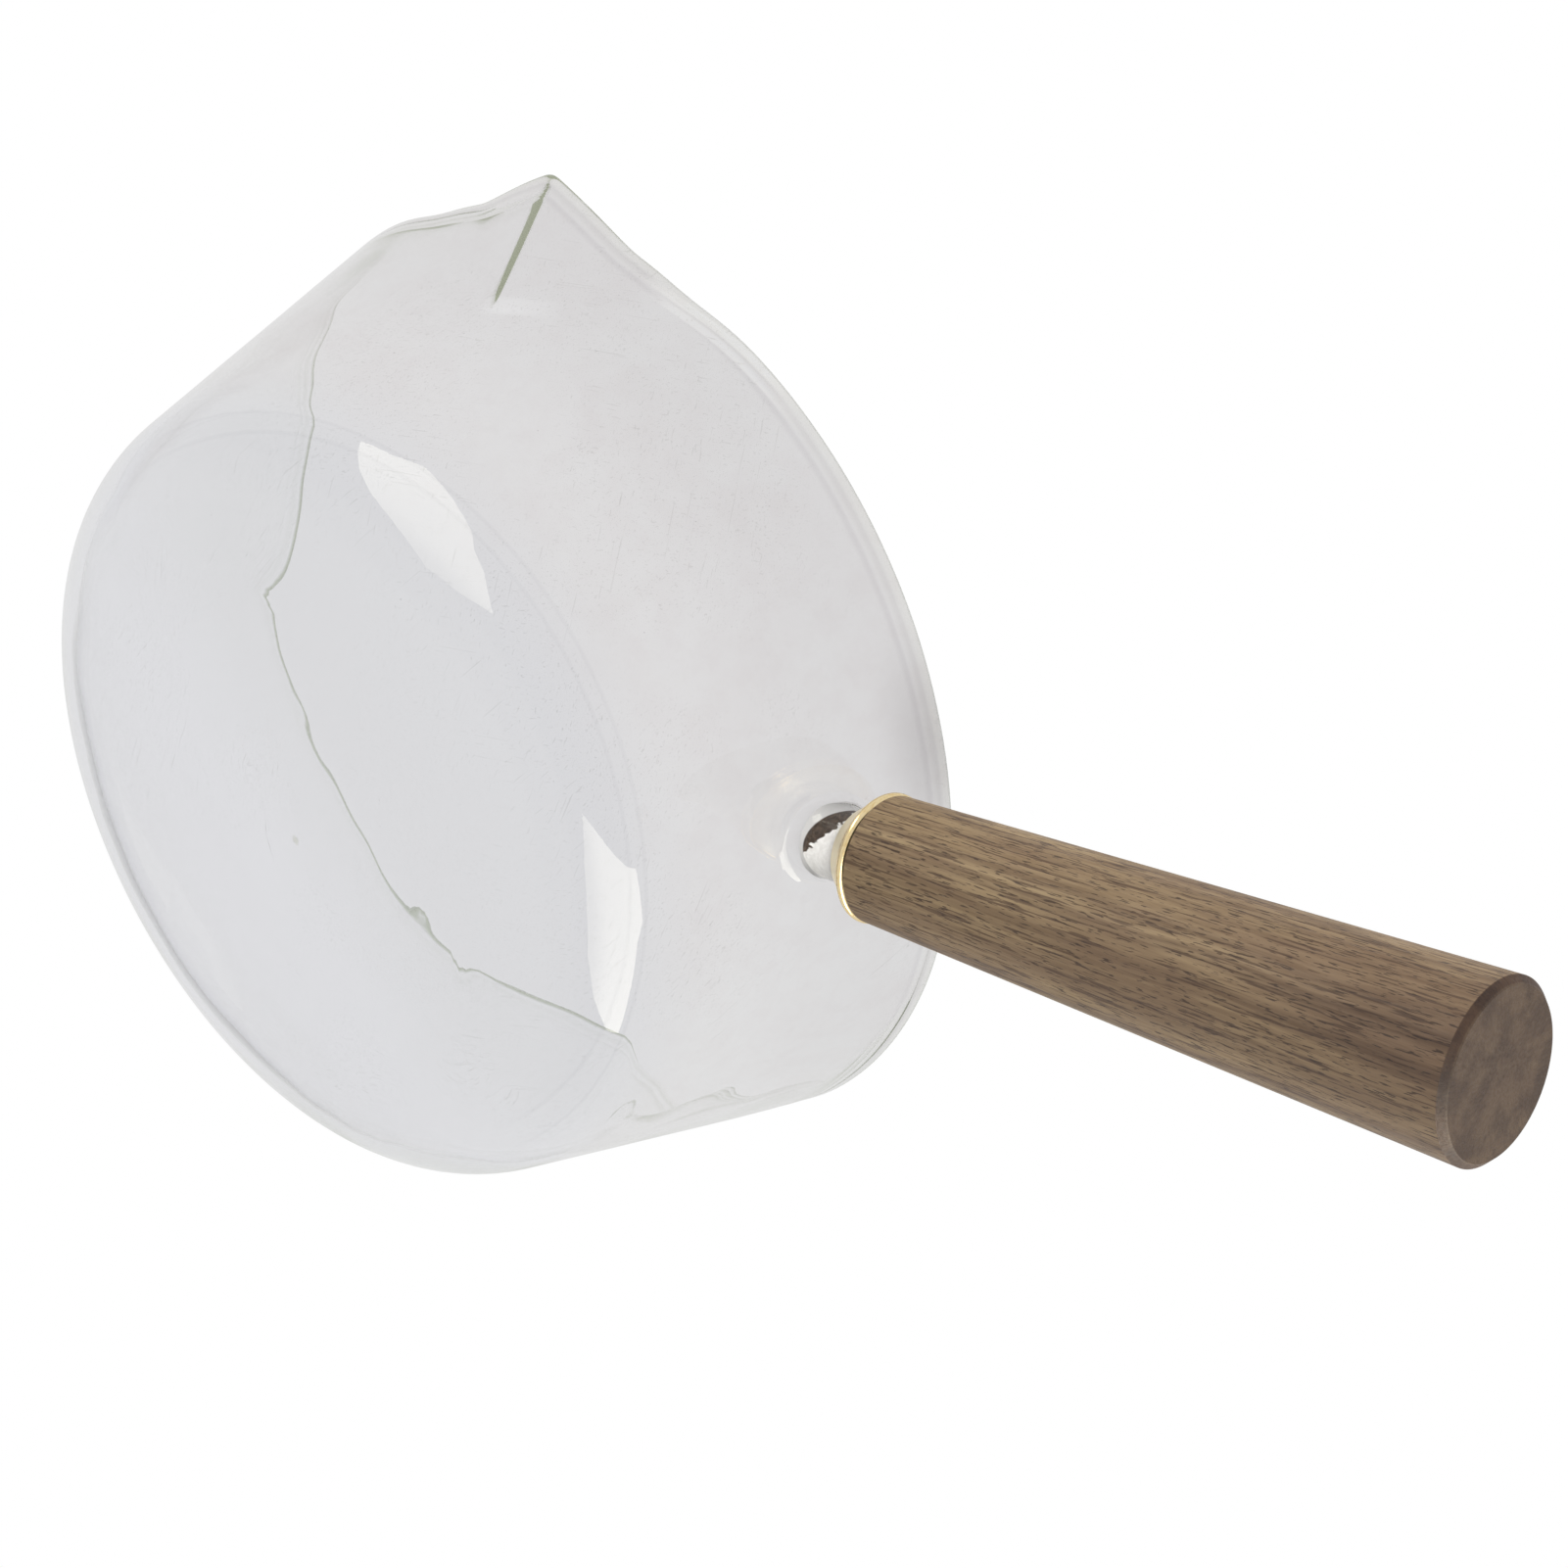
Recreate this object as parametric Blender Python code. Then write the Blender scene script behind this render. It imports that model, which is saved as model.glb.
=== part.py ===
"""Glass milk pan with two pouring spouts and a turned wooden handle.

The pan stands on the plane z = 0 with its base centred on the origin. The handle runs along +X and the
spouts lie on either side of it, towards -Y and +Y. Lengths are in metres, angles in degrees.
"""
import math

import bmesh
import bpy
from mathutils import Matrix, Vector

# Glass bowl
RIM_RADIUS = 0.080
BODY_HEIGHT = 0.070
GLASS_WALL = 0.0026
WALL_LEAN = 15.2
CORNER_RADIUS = 0.022
INSIDE_CORNER_RADIUS = 0.022
FLOOR_DIP = 0.0007

# Pouring spouts, pulled out of the rim
SPOUT_ANGLE = 85.0
SPOUT_REACH = 0.0072
SPOUT_WIDTH = 0.0334
SPOUT_DEPTH = 0.0216
SPOUT_SHARPNESS = 1.15
SPOUT_WIDENING = 0.3
RIDGE_SKEW = 5.0
RIDGE_SKEW_SPAN = 45.0
SPOUT_SHOULDER_DIP = 0.0009
SPOUT_SHOULDER_PLACE = 1.75
SPOUT_SHOULDER_SPREAD = 0.5

# Hollow glass neck, fused to the wall
NECK_BELOW_RIM = 0.0217
NECK_RISE = 1.0
NECK_RADIUS = 0.0057
NECK_WALL = 0.0014
NECK_FILLET = 0.0030
NECK_FILLET_SINK = 0.00015
NECK_SHOWN = 0.0018
NECK_IN_GRIP = 0.020
NECK_FLOOR = 0.0004

# Brass ferrule between the neck and the wood
FERRULE_LENGTH = 0.0050
FERRULE_STEP = 0.00025
FERRULE_FLANGE = 0.0011
FERRULE_NOSE_WALL = 0.0006
FERRULE_NOSE_LIP = 0.0005
FERRULE_EDGE = 0.00025

# Wooden grip
GRIP_LENGTH = 0.1058
GRIP_SOCKET_WALL = 0.00285
GRIP_END_RADIUS = 0.01315
GRIP_CHAMFER = 0.0011
GRIP_FRONT_EDGE = 0.0003

# Wooden dowel that reaches from the neck into the grip, and the cement round it
DOWEL_PAST_NECK = 0.022
NECK_CEMENT = 0.0004
SOCKET_CEMENT = 0.0006
BARE_DOWEL_FROM = 90.0
BARE_DOWEL_SPAN = 120.0

# Clearance between touching pieces
FIT_GAP = 0.0003

# How finely the round shapes are cut
FLOOR_RING_SHARES = (0.25, 0.5, 0.75)
CORNER_STEPS = 6
WALL_STEPS_BELOW_SPOUT = 3
WALL_STEPS_AT_SPOUT = 6
RIM_SIDE_STEPS = 3
WALL_STEP_ANGLE = 5.0
SPOUT_STEPS = (0.0, 0.12, 0.25, 0.42, 0.6, 0.8, 1.0, 1.25, 1.5, 1.75, 2.1)
NECK_STEPS = 40
FILLET_STEPS = 5
TURNED_STEPS = 64
SMALL_TURNED_STEPS = 32
SMOOTH_ANGLE = 35.0
MERGE_DISTANCE = 0.00001
WALL_SEARCH_STEPS = 8

# Bowl sizes that follow from the ones above
LEAN = math.radians(WALL_LEAN)
HALF_WALL = GLASS_WALL / 2
RIM_CENTRE = (RIM_RADIUS - HALF_WALL, BODY_HEIGHT - HALF_WALL)
WALL_TOP = (RIM_CENTRE[0] + HALF_WALL * math.cos(LEAN), RIM_CENTRE[1] - HALF_WALL * math.sin(LEAN))
WALL_FOOT_RADIUS = WALL_TOP[0] - WALL_TOP[1] * math.tan(LEAN)
SPOUT_FOOT = BODY_HEIGHT - SPOUT_DEPTH
SPOUT_HALF_ANGLE = math.asin(SPOUT_WIDTH / 2 / RIM_RADIUS)
SPOUT_CENTRES = (math.radians(SPOUT_ANGLE), math.radians(-SPOUT_ANGLE))


def wall_radius(z):
    """Outer radius of the plain wall at height z, carried on straight below the corner."""
    return WALL_FOOT_RADIUS + z * math.tan(LEAN)


# The handle's own frame: its origin is where the handle's axis meets the wall, and +Z runs out along the handle.
NECK_HEIGHT = BODY_HEIGHT - NECK_BELOW_RIM
RISE = math.radians(NECK_RISE)
HANDLE_ORIGIN = Vector((wall_radius(NECK_HEIGHT), 0.0, NECK_HEIGHT))
ALONG = Vector((math.cos(RISE), 0.0, math.sin(RISE)))
ACROSS = Vector((0.0, 1.0, 0.0))
UPWARD = ALONG.cross(ACROSS)
HANDLE_FRAME = Matrix.Translation(HANDLE_ORIGIN) @ Matrix((ACROSS, UPWARD, ALONG)).transposed().to_4x4()


def handle_point(angle, radius, along):
    """Point beside the handle's axis. The angle starts at +Y and turns upwards."""
    side = math.cos(angle) * ACROSS + math.sin(angle) * UPWARD
    return HANDLE_ORIGIN + radius * side + along * ALONG


def wall_along(angle, radius):
    """Distance along the handle's axis at which a line beside that axis meets the wall's outside."""
    along = 0.0
    for _ in range(WALL_SEARCH_STEPS):
        point = handle_point(angle, radius, along)
        along -= math.hypot(point.x, point.y) - wall_radius(point.z)
    return along


# Handle sizes that follow, as distances along the handle's axis and radii about it
FILLET_END = wall_along(math.pi / 2, NECK_RADIUS) + NECK_FILLET
FERRULE_START = FILLET_END + NECK_SHOWN
FERRULE_END = FERRULE_START + FERRULE_LENGTH
GRIP_START = FERRULE_END + FIT_GAP
GRIP_END = GRIP_START + GRIP_LENGTH
NECK_END = GRIP_START + NECK_IN_GRIP
SOCKET_END = NECK_END + FIT_GAP
DOWEL_START = NECK_FLOOR + FIT_GAP
DOWEL_END = NECK_END + DOWEL_PAST_NECK
NECK_BORE = NECK_RADIUS - NECK_WALL
NECK_CEMENT_RADIUS = NECK_BORE - FIT_GAP
DOWEL_RADIUS = NECK_CEMENT_RADIUS - NECK_CEMENT - FIT_GAP
DOWEL_BORE = DOWEL_RADIUS + FIT_GAP
NECK_CLEARANCE_RADIUS = NECK_RADIUS + FIT_GAP
SOCKET_CEMENT_RADIUS = NECK_CLEARANCE_RADIUS + SOCKET_CEMENT
SOCKET_RADIUS = SOCKET_CEMENT_RADIUS + FIT_GAP
GRIP_FRONT_RADIUS = SOCKET_RADIUS + GRIP_SOCKET_WALL
FERRULE_RADIUS = GRIP_FRONT_RADIUS + FERRULE_STEP


def clear_scene():
    for old in list(bpy.data.objects):
        bpy.data.objects.remove(old, do_unlink=True)


def finish_material(name, colour, roughness, metallic=0.0, transmission=0.0, ior=1.5):
    material = bpy.data.materials.new(name)
    material.use_nodes = True
    shader = material.node_tree.nodes["Principled BSDF"]
    shader.inputs["Base Color"].default_value = (*colour, 1.0)
    shader.inputs["Roughness"].default_value = roughness
    shader.inputs["Metallic"].default_value = metallic
    shader.inputs["Transmission Weight"].default_value = transmission
    shader.inputs["IOR"].default_value = ior
    return material


def add_object(name, mesh, material=None):
    piece = bpy.data.objects.new(name, mesh)
    bpy.context.scene.collection.objects.link(piece)
    if material is not None:
        mesh.materials.append(material)
        mesh.shade_smooth()
        mesh.set_sharp_from_angle(angle=math.radians(SMOOTH_ANGLE))
    return piece


def mesh_from_rings(name, rings):
    """Closed skin over a stack of rings with as many points each, capped at both ends."""
    bm = bmesh.new()
    loops = [[bm.verts.new(point) for point in ring] for ring in rings]
    count = len(loops[0])
    for low, high in zip(loops, loops[1:]):
        for j in range(count):
            k = (j + 1) % count
            bm.faces.new((low[j], low[k], high[k], high[j]))
    bm.faces.new(list(reversed(loops[0])))
    bm.faces.new(loops[-1])
    mesh = bpy.data.meshes.new(name)
    bm.to_mesh(mesh)
    bm.free()
    return mesh


def add_turned(name, profile, material, steps, closed=False):
    """Piece turned about the handle's axis. The profile's points are (radius, distance along the handle)."""
    bm = bmesh.new()
    points = [bm.verts.new((radius, 0.0, along)) for radius, along in profile]
    pairs = list(zip(points, points[1:]))
    if closed:
        pairs.append((points[-1], points[0]))
    for first, second in pairs:
        bm.edges.new((first, second))
    mesh = bpy.data.meshes.new(name)
    bm.to_mesh(mesh)
    bm.free()
    piece = add_object(name, mesh, material)
    screw = piece.modifiers.new("Turn", "SCREW")
    screw.axis = "Z"
    screw.angle = math.tau
    screw.steps = steps
    screw.render_steps = steps
    screw.use_merge_vertices = True
    screw.merge_threshold = MERGE_DISTANCE
    screw.use_smooth_shade = True
    return piece


def boolean(piece, cutter, operation):
    cutter.hide_render = True
    cutter.display_type = "WIRE"
    modifier = piece.modifiers.new(cutter.name, "BOOLEAN")
    modifier.operation = operation
    modifier.solver = "EXACT"
    modifier.object = cutter


# Glass bowl with its spouts

def spout_rise(z):
    """Share of the spouts' depth that lies below height z."""
    return min(max((z - SPOUT_FOOT) / SPOUT_DEPTH, 0.0), 1.0)


def turn_between(first, second):
    return abs((first - second + math.pi) % math.tau - math.pi)


def spout_push(angle, z):
    """How far a spout pulls the wall outwards at this place, with the slight flats beside it."""
    rise = spout_rise(z)
    if rise == 0.0:
        return 0.0
    push = 0.0
    for centre in SPOUT_CENTRES:
        share = turn_between(angle, centre) / (SPOUT_HALF_ANGLE * rise ** SPOUT_WIDENING)
        push += SPOUT_REACH * rise * max(1.0 - share, 0.0) ** SPOUT_SHARPNESS
        past_shoulder = (share - SPOUT_SHOULDER_PLACE) / SPOUT_SHOULDER_SPREAD
        push -= SPOUT_SHOULDER_DIP * rise * math.exp(-past_shoulder ** 2)
    return push


def ridge_turn(angle, z):
    """How far the wall's mesh lines turn below the rim, so that both ridges lean towards the handle."""
    turn = 0.0
    for centre in SPOUT_CENTRES:
        away = min(turn_between(angle, centre) / math.radians(RIDGE_SKEW_SPAN), 1.0)
        turn -= math.copysign(math.radians(RIDGE_SKEW), centre) * (1.0 + math.cos(math.pi * away)) / 2
    return turn * (1.0 - spout_rise(z))


def bowl_angles():
    """Directions of the bowl's mesh lines, close together at the spouts."""
    near = SPOUT_HALF_ANGLE * SPOUT_STEPS[-1]
    angles = []
    for centre in SPOUT_CENTRES:
        for step in SPOUT_STEPS:
            angles.append(centre + SPOUT_HALF_ANGLE * step)
            if step > 0.0:
                angles.append(centre - SPOUT_HALF_ANGLE * step)
    left, right = SPOUT_CENTRES
    for start, end in ((right + near, left - near), (left + near, right + math.tau - near)):
        count = max(round((end - start) / math.radians(WALL_STEP_ANGLE)), 2)
        angles.extend(start + (end - start) * i / count for i in range(1, count))
    return sorted(angle % math.tau for angle in angles)


def between(first, second, steps):
    """Points from first to second, without first."""
    return [tuple(a + (b - a) * i / steps for a, b in zip(first, second)) for i in range(1, steps + 1)]


def arc(centre, radius, start, end, steps):
    turns = [start + (end - start) * i / steps for i in range(steps + 1)]
    return [(centre[0] + radius * math.cos(turn), centre[1] + radius * math.sin(turn)) for turn in turns]


def floor_points(edge):
    """Inside floor from near its middle to its edge, which is the higher."""
    return [(share * edge[0], edge[1] - FLOOR_DIP * (1.0 - share ** 2)) for share in FLOOR_RING_SHARES]


def bowl_section():
    """Radius and height round the glass, from the base's edge up the outside, over the rim and to the middle."""
    sides = []
    for offset, corner_radius, dip in ((0.0, CORNER_RADIUS, 0.0), (GLASS_WALL, INSIDE_CORNER_RADIUS, FLOOR_DIP)):
        inward = (-offset * math.cos(LEAN), offset * math.sin(LEAN))
        start = wall_radius(SPOUT_FOOT) + inward[0], SPOUT_FOOT + inward[1]
        top = WALL_TOP[0] + inward[0], WALL_TOP[1] + inward[1]
        foot = wall_radius(offset) - offset / math.cos(LEAN)
        corner = (foot - corner_radius * math.tan((math.pi / 2 - LEAN) / 2), offset + corner_radius)
        floor_slope = math.atan(2 * dip / corner[0])
        side = arc(corner, corner_radius, floor_slope - math.pi / 2, -LEAN, CORNER_STEPS)
        if dip > 0.0:
            side = floor_points(side[0]) + side
        side += between(side[-1], start, WALL_STEPS_BELOW_SPOUT)
        side += between(start, top, WALL_STEPS_AT_SPOUT)
        sides.append(side)
    top = math.pi / 2
    rim = arc(RIM_CENTRE, HALF_WALL, -LEAN, top, RIM_SIDE_STEPS)[1:]
    rim += arc(RIM_CENTRE, HALF_WALL, top, math.pi - LEAN, RIM_SIDE_STEPS)[1:-1]
    return sides[0] + rim + list(reversed(sides[1]))


def bowl_mesh():
    angles = bowl_angles()
    rings = []
    for radius, z in bowl_section():
        ring = []
        for angle in angles:
            reach = radius + spout_push(angle, z)
            turn = angle + ridge_turn(angle, z)
            ring.append((reach * math.cos(turn), reach * math.sin(turn), z))
        rings.append(ring)
    return mesh_from_rings("glass_pan", rings)


# Glass neck

def neck_mesh():
    """Neck without its bore, rooted in the middle of the wall and filleted to its outside."""
    turns = [math.tau * i / NECK_STEPS for i in range(NECK_STEPS)]
    root_radius = NECK_RADIUS + NECK_FILLET
    rings = [[handle_point(turn, root_radius, wall_along(turn, root_radius) - HALF_WALL) for turn in turns]]
    for i in range(FILLET_STEPS + 1):
        sweep = math.pi / 2 * i / FILLET_STEPS
        radius = root_radius - NECK_FILLET * math.sin(sweep)
        lift = NECK_FILLET * (1 - math.cos(sweep)) - NECK_FILLET_SINK
        rings.append([handle_point(turn, radius, wall_along(turn, radius) + lift) for turn in turns])
    rings.append([handle_point(turn, NECK_RADIUS, NECK_END) for turn in turns])
    return mesh_from_rings("neck_blank", rings)


def build_glass():
    glass = finish_material("clear_glass", (0.93, 0.95, 0.94), 0.02, transmission=1.0, ior=1.47)
    pan = add_object("glass_pan", bowl_mesh(), glass)
    neck = add_object("neck_blank", neck_mesh())
    past_end = NECK_END + NECK_WALL
    bore_profile = [(0.0, past_end), (NECK_BORE, past_end), (NECK_BORE, NECK_FLOOR), (0.0, NECK_FLOOR)]
    bore = add_turned("neck_bore", bore_profile, None, SMALL_TURNED_STEPS)
    boolean(pan, neck, "UNION")
    boolean(pan, bore, "DIFFERENCE")
    return bore


# Handle

def build_ferrule():
    """Collar with a cone towards the neck and a flange against the wood."""
    brass = finish_material("polished_brass", (0.87, 0.68, 0.36), 0.18, metallic=1.0)
    flange = FERRULE_END - FERRULE_FLANGE
    nose = NECK_CLEARANCE_RADIUS + FERRULE_NOSE_WALL
    profile = [
        (NECK_CLEARANCE_RADIUS, FERRULE_END),
        (FERRULE_RADIUS - FERRULE_EDGE, FERRULE_END),
        (FERRULE_RADIUS, FERRULE_END - FERRULE_EDGE),
        (FERRULE_RADIUS, flange + FERRULE_EDGE),
        (FERRULE_RADIUS - FERRULE_EDGE, flange),
        (FERRULE_RADIUS - 2 * FERRULE_EDGE, flange),
        (nose, FERRULE_START + FERRULE_NOSE_LIP),
        (nose, FERRULE_START),
        (NECK_CLEARANCE_RADIUS, FERRULE_START),
    ]
    return add_turned("ferrule", profile, brass, TURNED_STEPS, closed=True)


def build_grip():
    """Tapered grip with a socket for the neck and a deeper hole for the dowel."""
    walnut = finish_material("walnut", (0.22, 0.15, 0.09), 0.62)
    taper = (GRIP_END_RADIUS - GRIP_FRONT_RADIUS) / GRIP_LENGTH
    profile = [
        (0.0, GRIP_END),
        (GRIP_END_RADIUS - GRIP_CHAMFER, GRIP_END),
        (GRIP_END_RADIUS - taper * GRIP_CHAMFER, GRIP_END - GRIP_CHAMFER),
        (GRIP_FRONT_RADIUS, GRIP_START + GRIP_FRONT_EDGE),
        (GRIP_FRONT_RADIUS - GRIP_FRONT_EDGE, GRIP_START),
        (SOCKET_RADIUS, GRIP_START),
        (SOCKET_RADIUS, SOCKET_END),
        (DOWEL_BORE, SOCKET_END),
        (DOWEL_BORE, DOWEL_END + FIT_GAP),
        (0.0, DOWEL_END + FIT_GAP),
    ]
    return add_turned("handle_grip", profile, walnut, TURNED_STEPS)


def build_dowel():
    dark_wood = finish_material("dowel_wood", (0.11, 0.08, 0.055), 0.7)
    profile = [
        (0.0, DOWEL_END),
        (DOWEL_RADIUS, DOWEL_END),
        (DOWEL_RADIUS, DOWEL_START),
        (0.0, DOWEL_START),
    ]
    return add_turned("neck_dowel", profile, dark_wood, SMALL_TURNED_STEPS)


def build_socket_cement():
    """Cement between the outside of the neck and the grip's socket."""
    cement = finish_material("socket_cement", (0.78, 0.77, 0.74), 0.6)
    inner = NECK_CLEARANCE_RADIUS
    outer = SOCKET_CEMENT_RADIUS
    profile = [(inner, NECK_END), (outer, NECK_END), (outer, GRIP_START), (inner, GRIP_START)]
    return add_turned("socket_cement", profile, cement, SMALL_TURNED_STEPS, closed=True)


def build_neck_cement():
    """Cement between the dowel and the neck's bore, open along one side where the bare dowel shows."""
    cement = finish_material("neck_cement", (0.84, 0.83, 0.81), 0.6)
    inner = DOWEL_BORE
    outer = NECK_CEMENT_RADIUS
    start = math.radians(BARE_DOWEL_FROM + BARE_DOWEL_SPAN)
    span = math.radians(360.0 - BARE_DOWEL_SPAN)
    corners = [(inner, DOWEL_START), (inner, NECK_END), (outer, NECK_END), (outer, DOWEL_START)]
    rings = []
    for i in range(SMALL_TURNED_STEPS + 1):
        turn = start + span * i / SMALL_TURNED_STEPS
        rings.append([(radius * math.cos(turn), radius * math.sin(turn), along) for radius, along in corners])
    return add_object("neck_cement", mesh_from_rings("neck_cement", rings), cement)


def build_handle_axis(pieces):
    """Empty at the neck's root whose +Z is the handle's axis, and which carries the turned pieces."""
    axis = bpy.data.objects.new("handle_axis", None)
    bpy.context.scene.collection.objects.link(axis)
    axis.matrix_world = HANDLE_FRAME
    for piece in pieces:
        piece.parent = axis


def main():
    clear_scene()
    bore = build_glass()
    pieces = [bore, build_ferrule(), build_grip(), build_dowel(), build_socket_cement(), build_neck_cement()]
    build_handle_axis(pieces)
    bpy.context.view_layer.update()


main()
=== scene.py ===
"""Studio looks of a clear glass milk pan with a turned wooden handle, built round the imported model."""

import math

import bmesh
import bpy
from mathutils import Matrix, Quaternion, Vector, noise


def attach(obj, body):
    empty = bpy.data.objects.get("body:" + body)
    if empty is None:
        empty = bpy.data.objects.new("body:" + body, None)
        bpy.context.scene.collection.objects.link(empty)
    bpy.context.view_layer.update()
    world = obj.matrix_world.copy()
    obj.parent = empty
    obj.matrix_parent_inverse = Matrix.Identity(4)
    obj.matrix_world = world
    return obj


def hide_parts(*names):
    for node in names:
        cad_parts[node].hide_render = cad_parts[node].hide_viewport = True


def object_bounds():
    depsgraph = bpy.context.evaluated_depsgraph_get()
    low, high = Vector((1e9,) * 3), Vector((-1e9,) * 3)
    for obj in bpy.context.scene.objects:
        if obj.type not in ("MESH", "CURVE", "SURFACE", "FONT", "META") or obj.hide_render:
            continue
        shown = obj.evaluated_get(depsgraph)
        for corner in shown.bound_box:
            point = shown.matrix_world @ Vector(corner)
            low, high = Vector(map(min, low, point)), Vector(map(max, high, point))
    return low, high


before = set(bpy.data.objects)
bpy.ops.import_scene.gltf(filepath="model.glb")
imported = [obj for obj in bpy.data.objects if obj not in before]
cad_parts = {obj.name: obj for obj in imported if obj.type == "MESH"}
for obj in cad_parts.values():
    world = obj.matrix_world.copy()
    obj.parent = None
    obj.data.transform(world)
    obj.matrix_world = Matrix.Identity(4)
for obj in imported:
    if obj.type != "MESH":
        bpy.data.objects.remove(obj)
CAD_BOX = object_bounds()
MILLIMETRES = 1000.0

# Driving sizes of the pan, the same as in its source, in metres and degrees
RIM_RADIUS = 0.080
BODY_HEIGHT = CAD_BOX[1].z
GLASS_WALL = 0.0026
WALL_LEAN = 15.2
CORNER_RADIUS = 0.022
SPOUT_ANGLE = 85.0
SPOUT_REACH = 0.0072
SPOUT_WIDTH = 0.0334
SPOUT_DEPTH = 0.0216
SPOUT_SHARPNESS = 1.15
SPOUT_WIDENING = 0.3
SPOUT_SHOULDER_DIP = 0.0009
SPOUT_SHOULDER_PLACE = 1.75
SPOUT_SHOULDER_SPREAD = 0.5
RIDGE_SKEW = 5.0
RIDGE_SKEW_SPAN = 45.0
NECK_BELOW_RIM = 0.0217
NECK_RISE = 1.0
NECK_RADIUS = 0.0057
NECK_WALL = 0.0014
NECK_FILLET = 0.0030
NECK_FILLET_SINK = 0.00015
NECK_SHOWN = 0.0018
NECK_IN_GRIP = 0.020
NECK_FLOOR = 0.0004
FERRULE_LENGTH = 0.0050
FERRULE_STEP = 0.00025
FERRULE_FLANGE = 0.0011
FERRULE_NOSE_WALL = 0.0006
GRIP_LENGTH = 0.1058
GRIP_SOCKET_WALL = 0.00285
GRIP_END_RADIUS = 0.01315
GRIP_CHAMFER = 0.0011
DOWEL_PAST_NECK = 0.022
NECK_CEMENT = 0.0004
SOCKET_CEMENT = 0.0006
FIT_GAP = 0.0003

# Finish of the dressed pieces, which the source leaves out or has in another size
VIEWER_CORNER_RADIUS = 0.0235
VIEWER_LEAN = 15.8
VIEWER_CORNER_FROM = (-125.0, -95.0)
VIEWER_CORNER_TO = (62.0, 35.0)
FLOOR_DIP = 0.0014
RIM_BEAD = 0.0005
RIM_BEAD_DEPTH = 0.0050
RIDGE_ROUNDING = 0.0003
RIDGE_BACK = 1.0
SPOUT_SHARPENING = 0.5
SPOUT_SHOULDER_ROUNDING = 0.15
OUT_OF_ROUND = 0.0010
OUT_OF_ROUND_AT = -38.0
OUT_OF_ROUND_SPAN = 46.0
RIPPLE_INSIDE = 0.00010
RIPPLE_OUTSIDE = 0.00003
RIPPLE_SIZE = 0.016
RIPPLE_SHIFT = (7.0, 3.0, 5.0)
FLOOR_WAVE = 0.00002
FLOOR_WAVE_SIZE = 0.006
FLOOR_DENTS = ((0.0150, -0.0255), (0.0370, 0.0020), (0.0470, 0.0100))
FLOOR_DENT_DEPTH = 0.00003
FLOOR_DENT_SIZE = 0.0022
GRIP_FRONT_EDGE = 0.0001
BOND = 0.00004
FILLING_START = -0.0016

# How finely the shapes are cut
FINEST_TURN = 0.05
TURN_GROWTH = 0.10
WIDEST_TURN = 1.4
BASE_STEPS = 40
CORNER_STEPS = 20
WALL_STEPS = 34
RIM_STEPS = 16
NECK_STEPS = 96
FILLET_STEPS = 12
TURNED_STEPS = 128
FLANGE_STEPS = 12
WALL_SEARCH_STEPS = 8
SMOOTH_ANGLE = 40.0
NORMAL_TURN = 0.0002

# Bowl sizes that follow from the ones above
LEAN = math.radians(WALL_LEAN)
LEVEL_WALL = GLASS_WALL / math.cos(LEAN)
HALF_WALL = GLASS_WALL / 2
RIM_CENTRE = (RIM_RADIUS - HALF_WALL, BODY_HEIGHT - HALF_WALL)
WALL_TOP = (RIM_CENTRE[0] + HALF_WALL * math.cos(LEAN), RIM_CENTRE[1] - HALF_WALL * math.sin(LEAN))
WALL_FOOT_RADIUS = WALL_TOP[0] - WALL_TOP[1] * math.tan(LEAN)
SPOUT_FOOT = BODY_HEIGHT - SPOUT_DEPTH
SPOUT_HALF_ANGLE = math.asin(SPOUT_WIDTH / 2 / RIM_RADIUS)
SPOUT_CENTRES = (math.radians(SPOUT_ANGLE), math.radians(-SPOUT_ANGLE))


def wall_radius(z):
    """Outer radius of the plain wall at height z, carried on straight below the corner."""
    return WALL_FOOT_RADIUS + z * math.tan(LEAN)


# The handle's own frame, with its origin where the handle's axis meets the wall and +Z out along the handle
NECK_HEIGHT = BODY_HEIGHT - NECK_BELOW_RIM
RISE = math.radians(NECK_RISE)
HANDLE_ORIGIN = Vector((wall_radius(NECK_HEIGHT), 0.0, NECK_HEIGHT))
ALONG = Vector((math.cos(RISE), 0.0, math.sin(RISE)))
ACROSS = Vector((0.0, 1.0, 0.0))
UPWARD = ALONG.cross(ACROSS)
HANDLE_FRAME = Matrix.Translation(HANDLE_ORIGIN) @ Matrix((ACROSS, UPWARD, ALONG)).transposed().to_4x4()


def handle_point(angle, radius, along):
    """Point beside the handle's axis. The angle starts at +Y and turns upwards."""
    side = math.cos(angle) * ACROSS + math.sin(angle) * UPWARD
    return HANDLE_ORIGIN + radius * side + along * ALONG


def wall_along(angle, radius):
    """Distance along the handle's axis at which a line beside that axis meets the wall's outside."""
    along = 0.0
    for _ in range(WALL_SEARCH_STEPS):
        point = handle_point(angle, radius, along)
        along -= math.hypot(point.x, point.y) - wall_radius(point.z)
    return along


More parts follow.
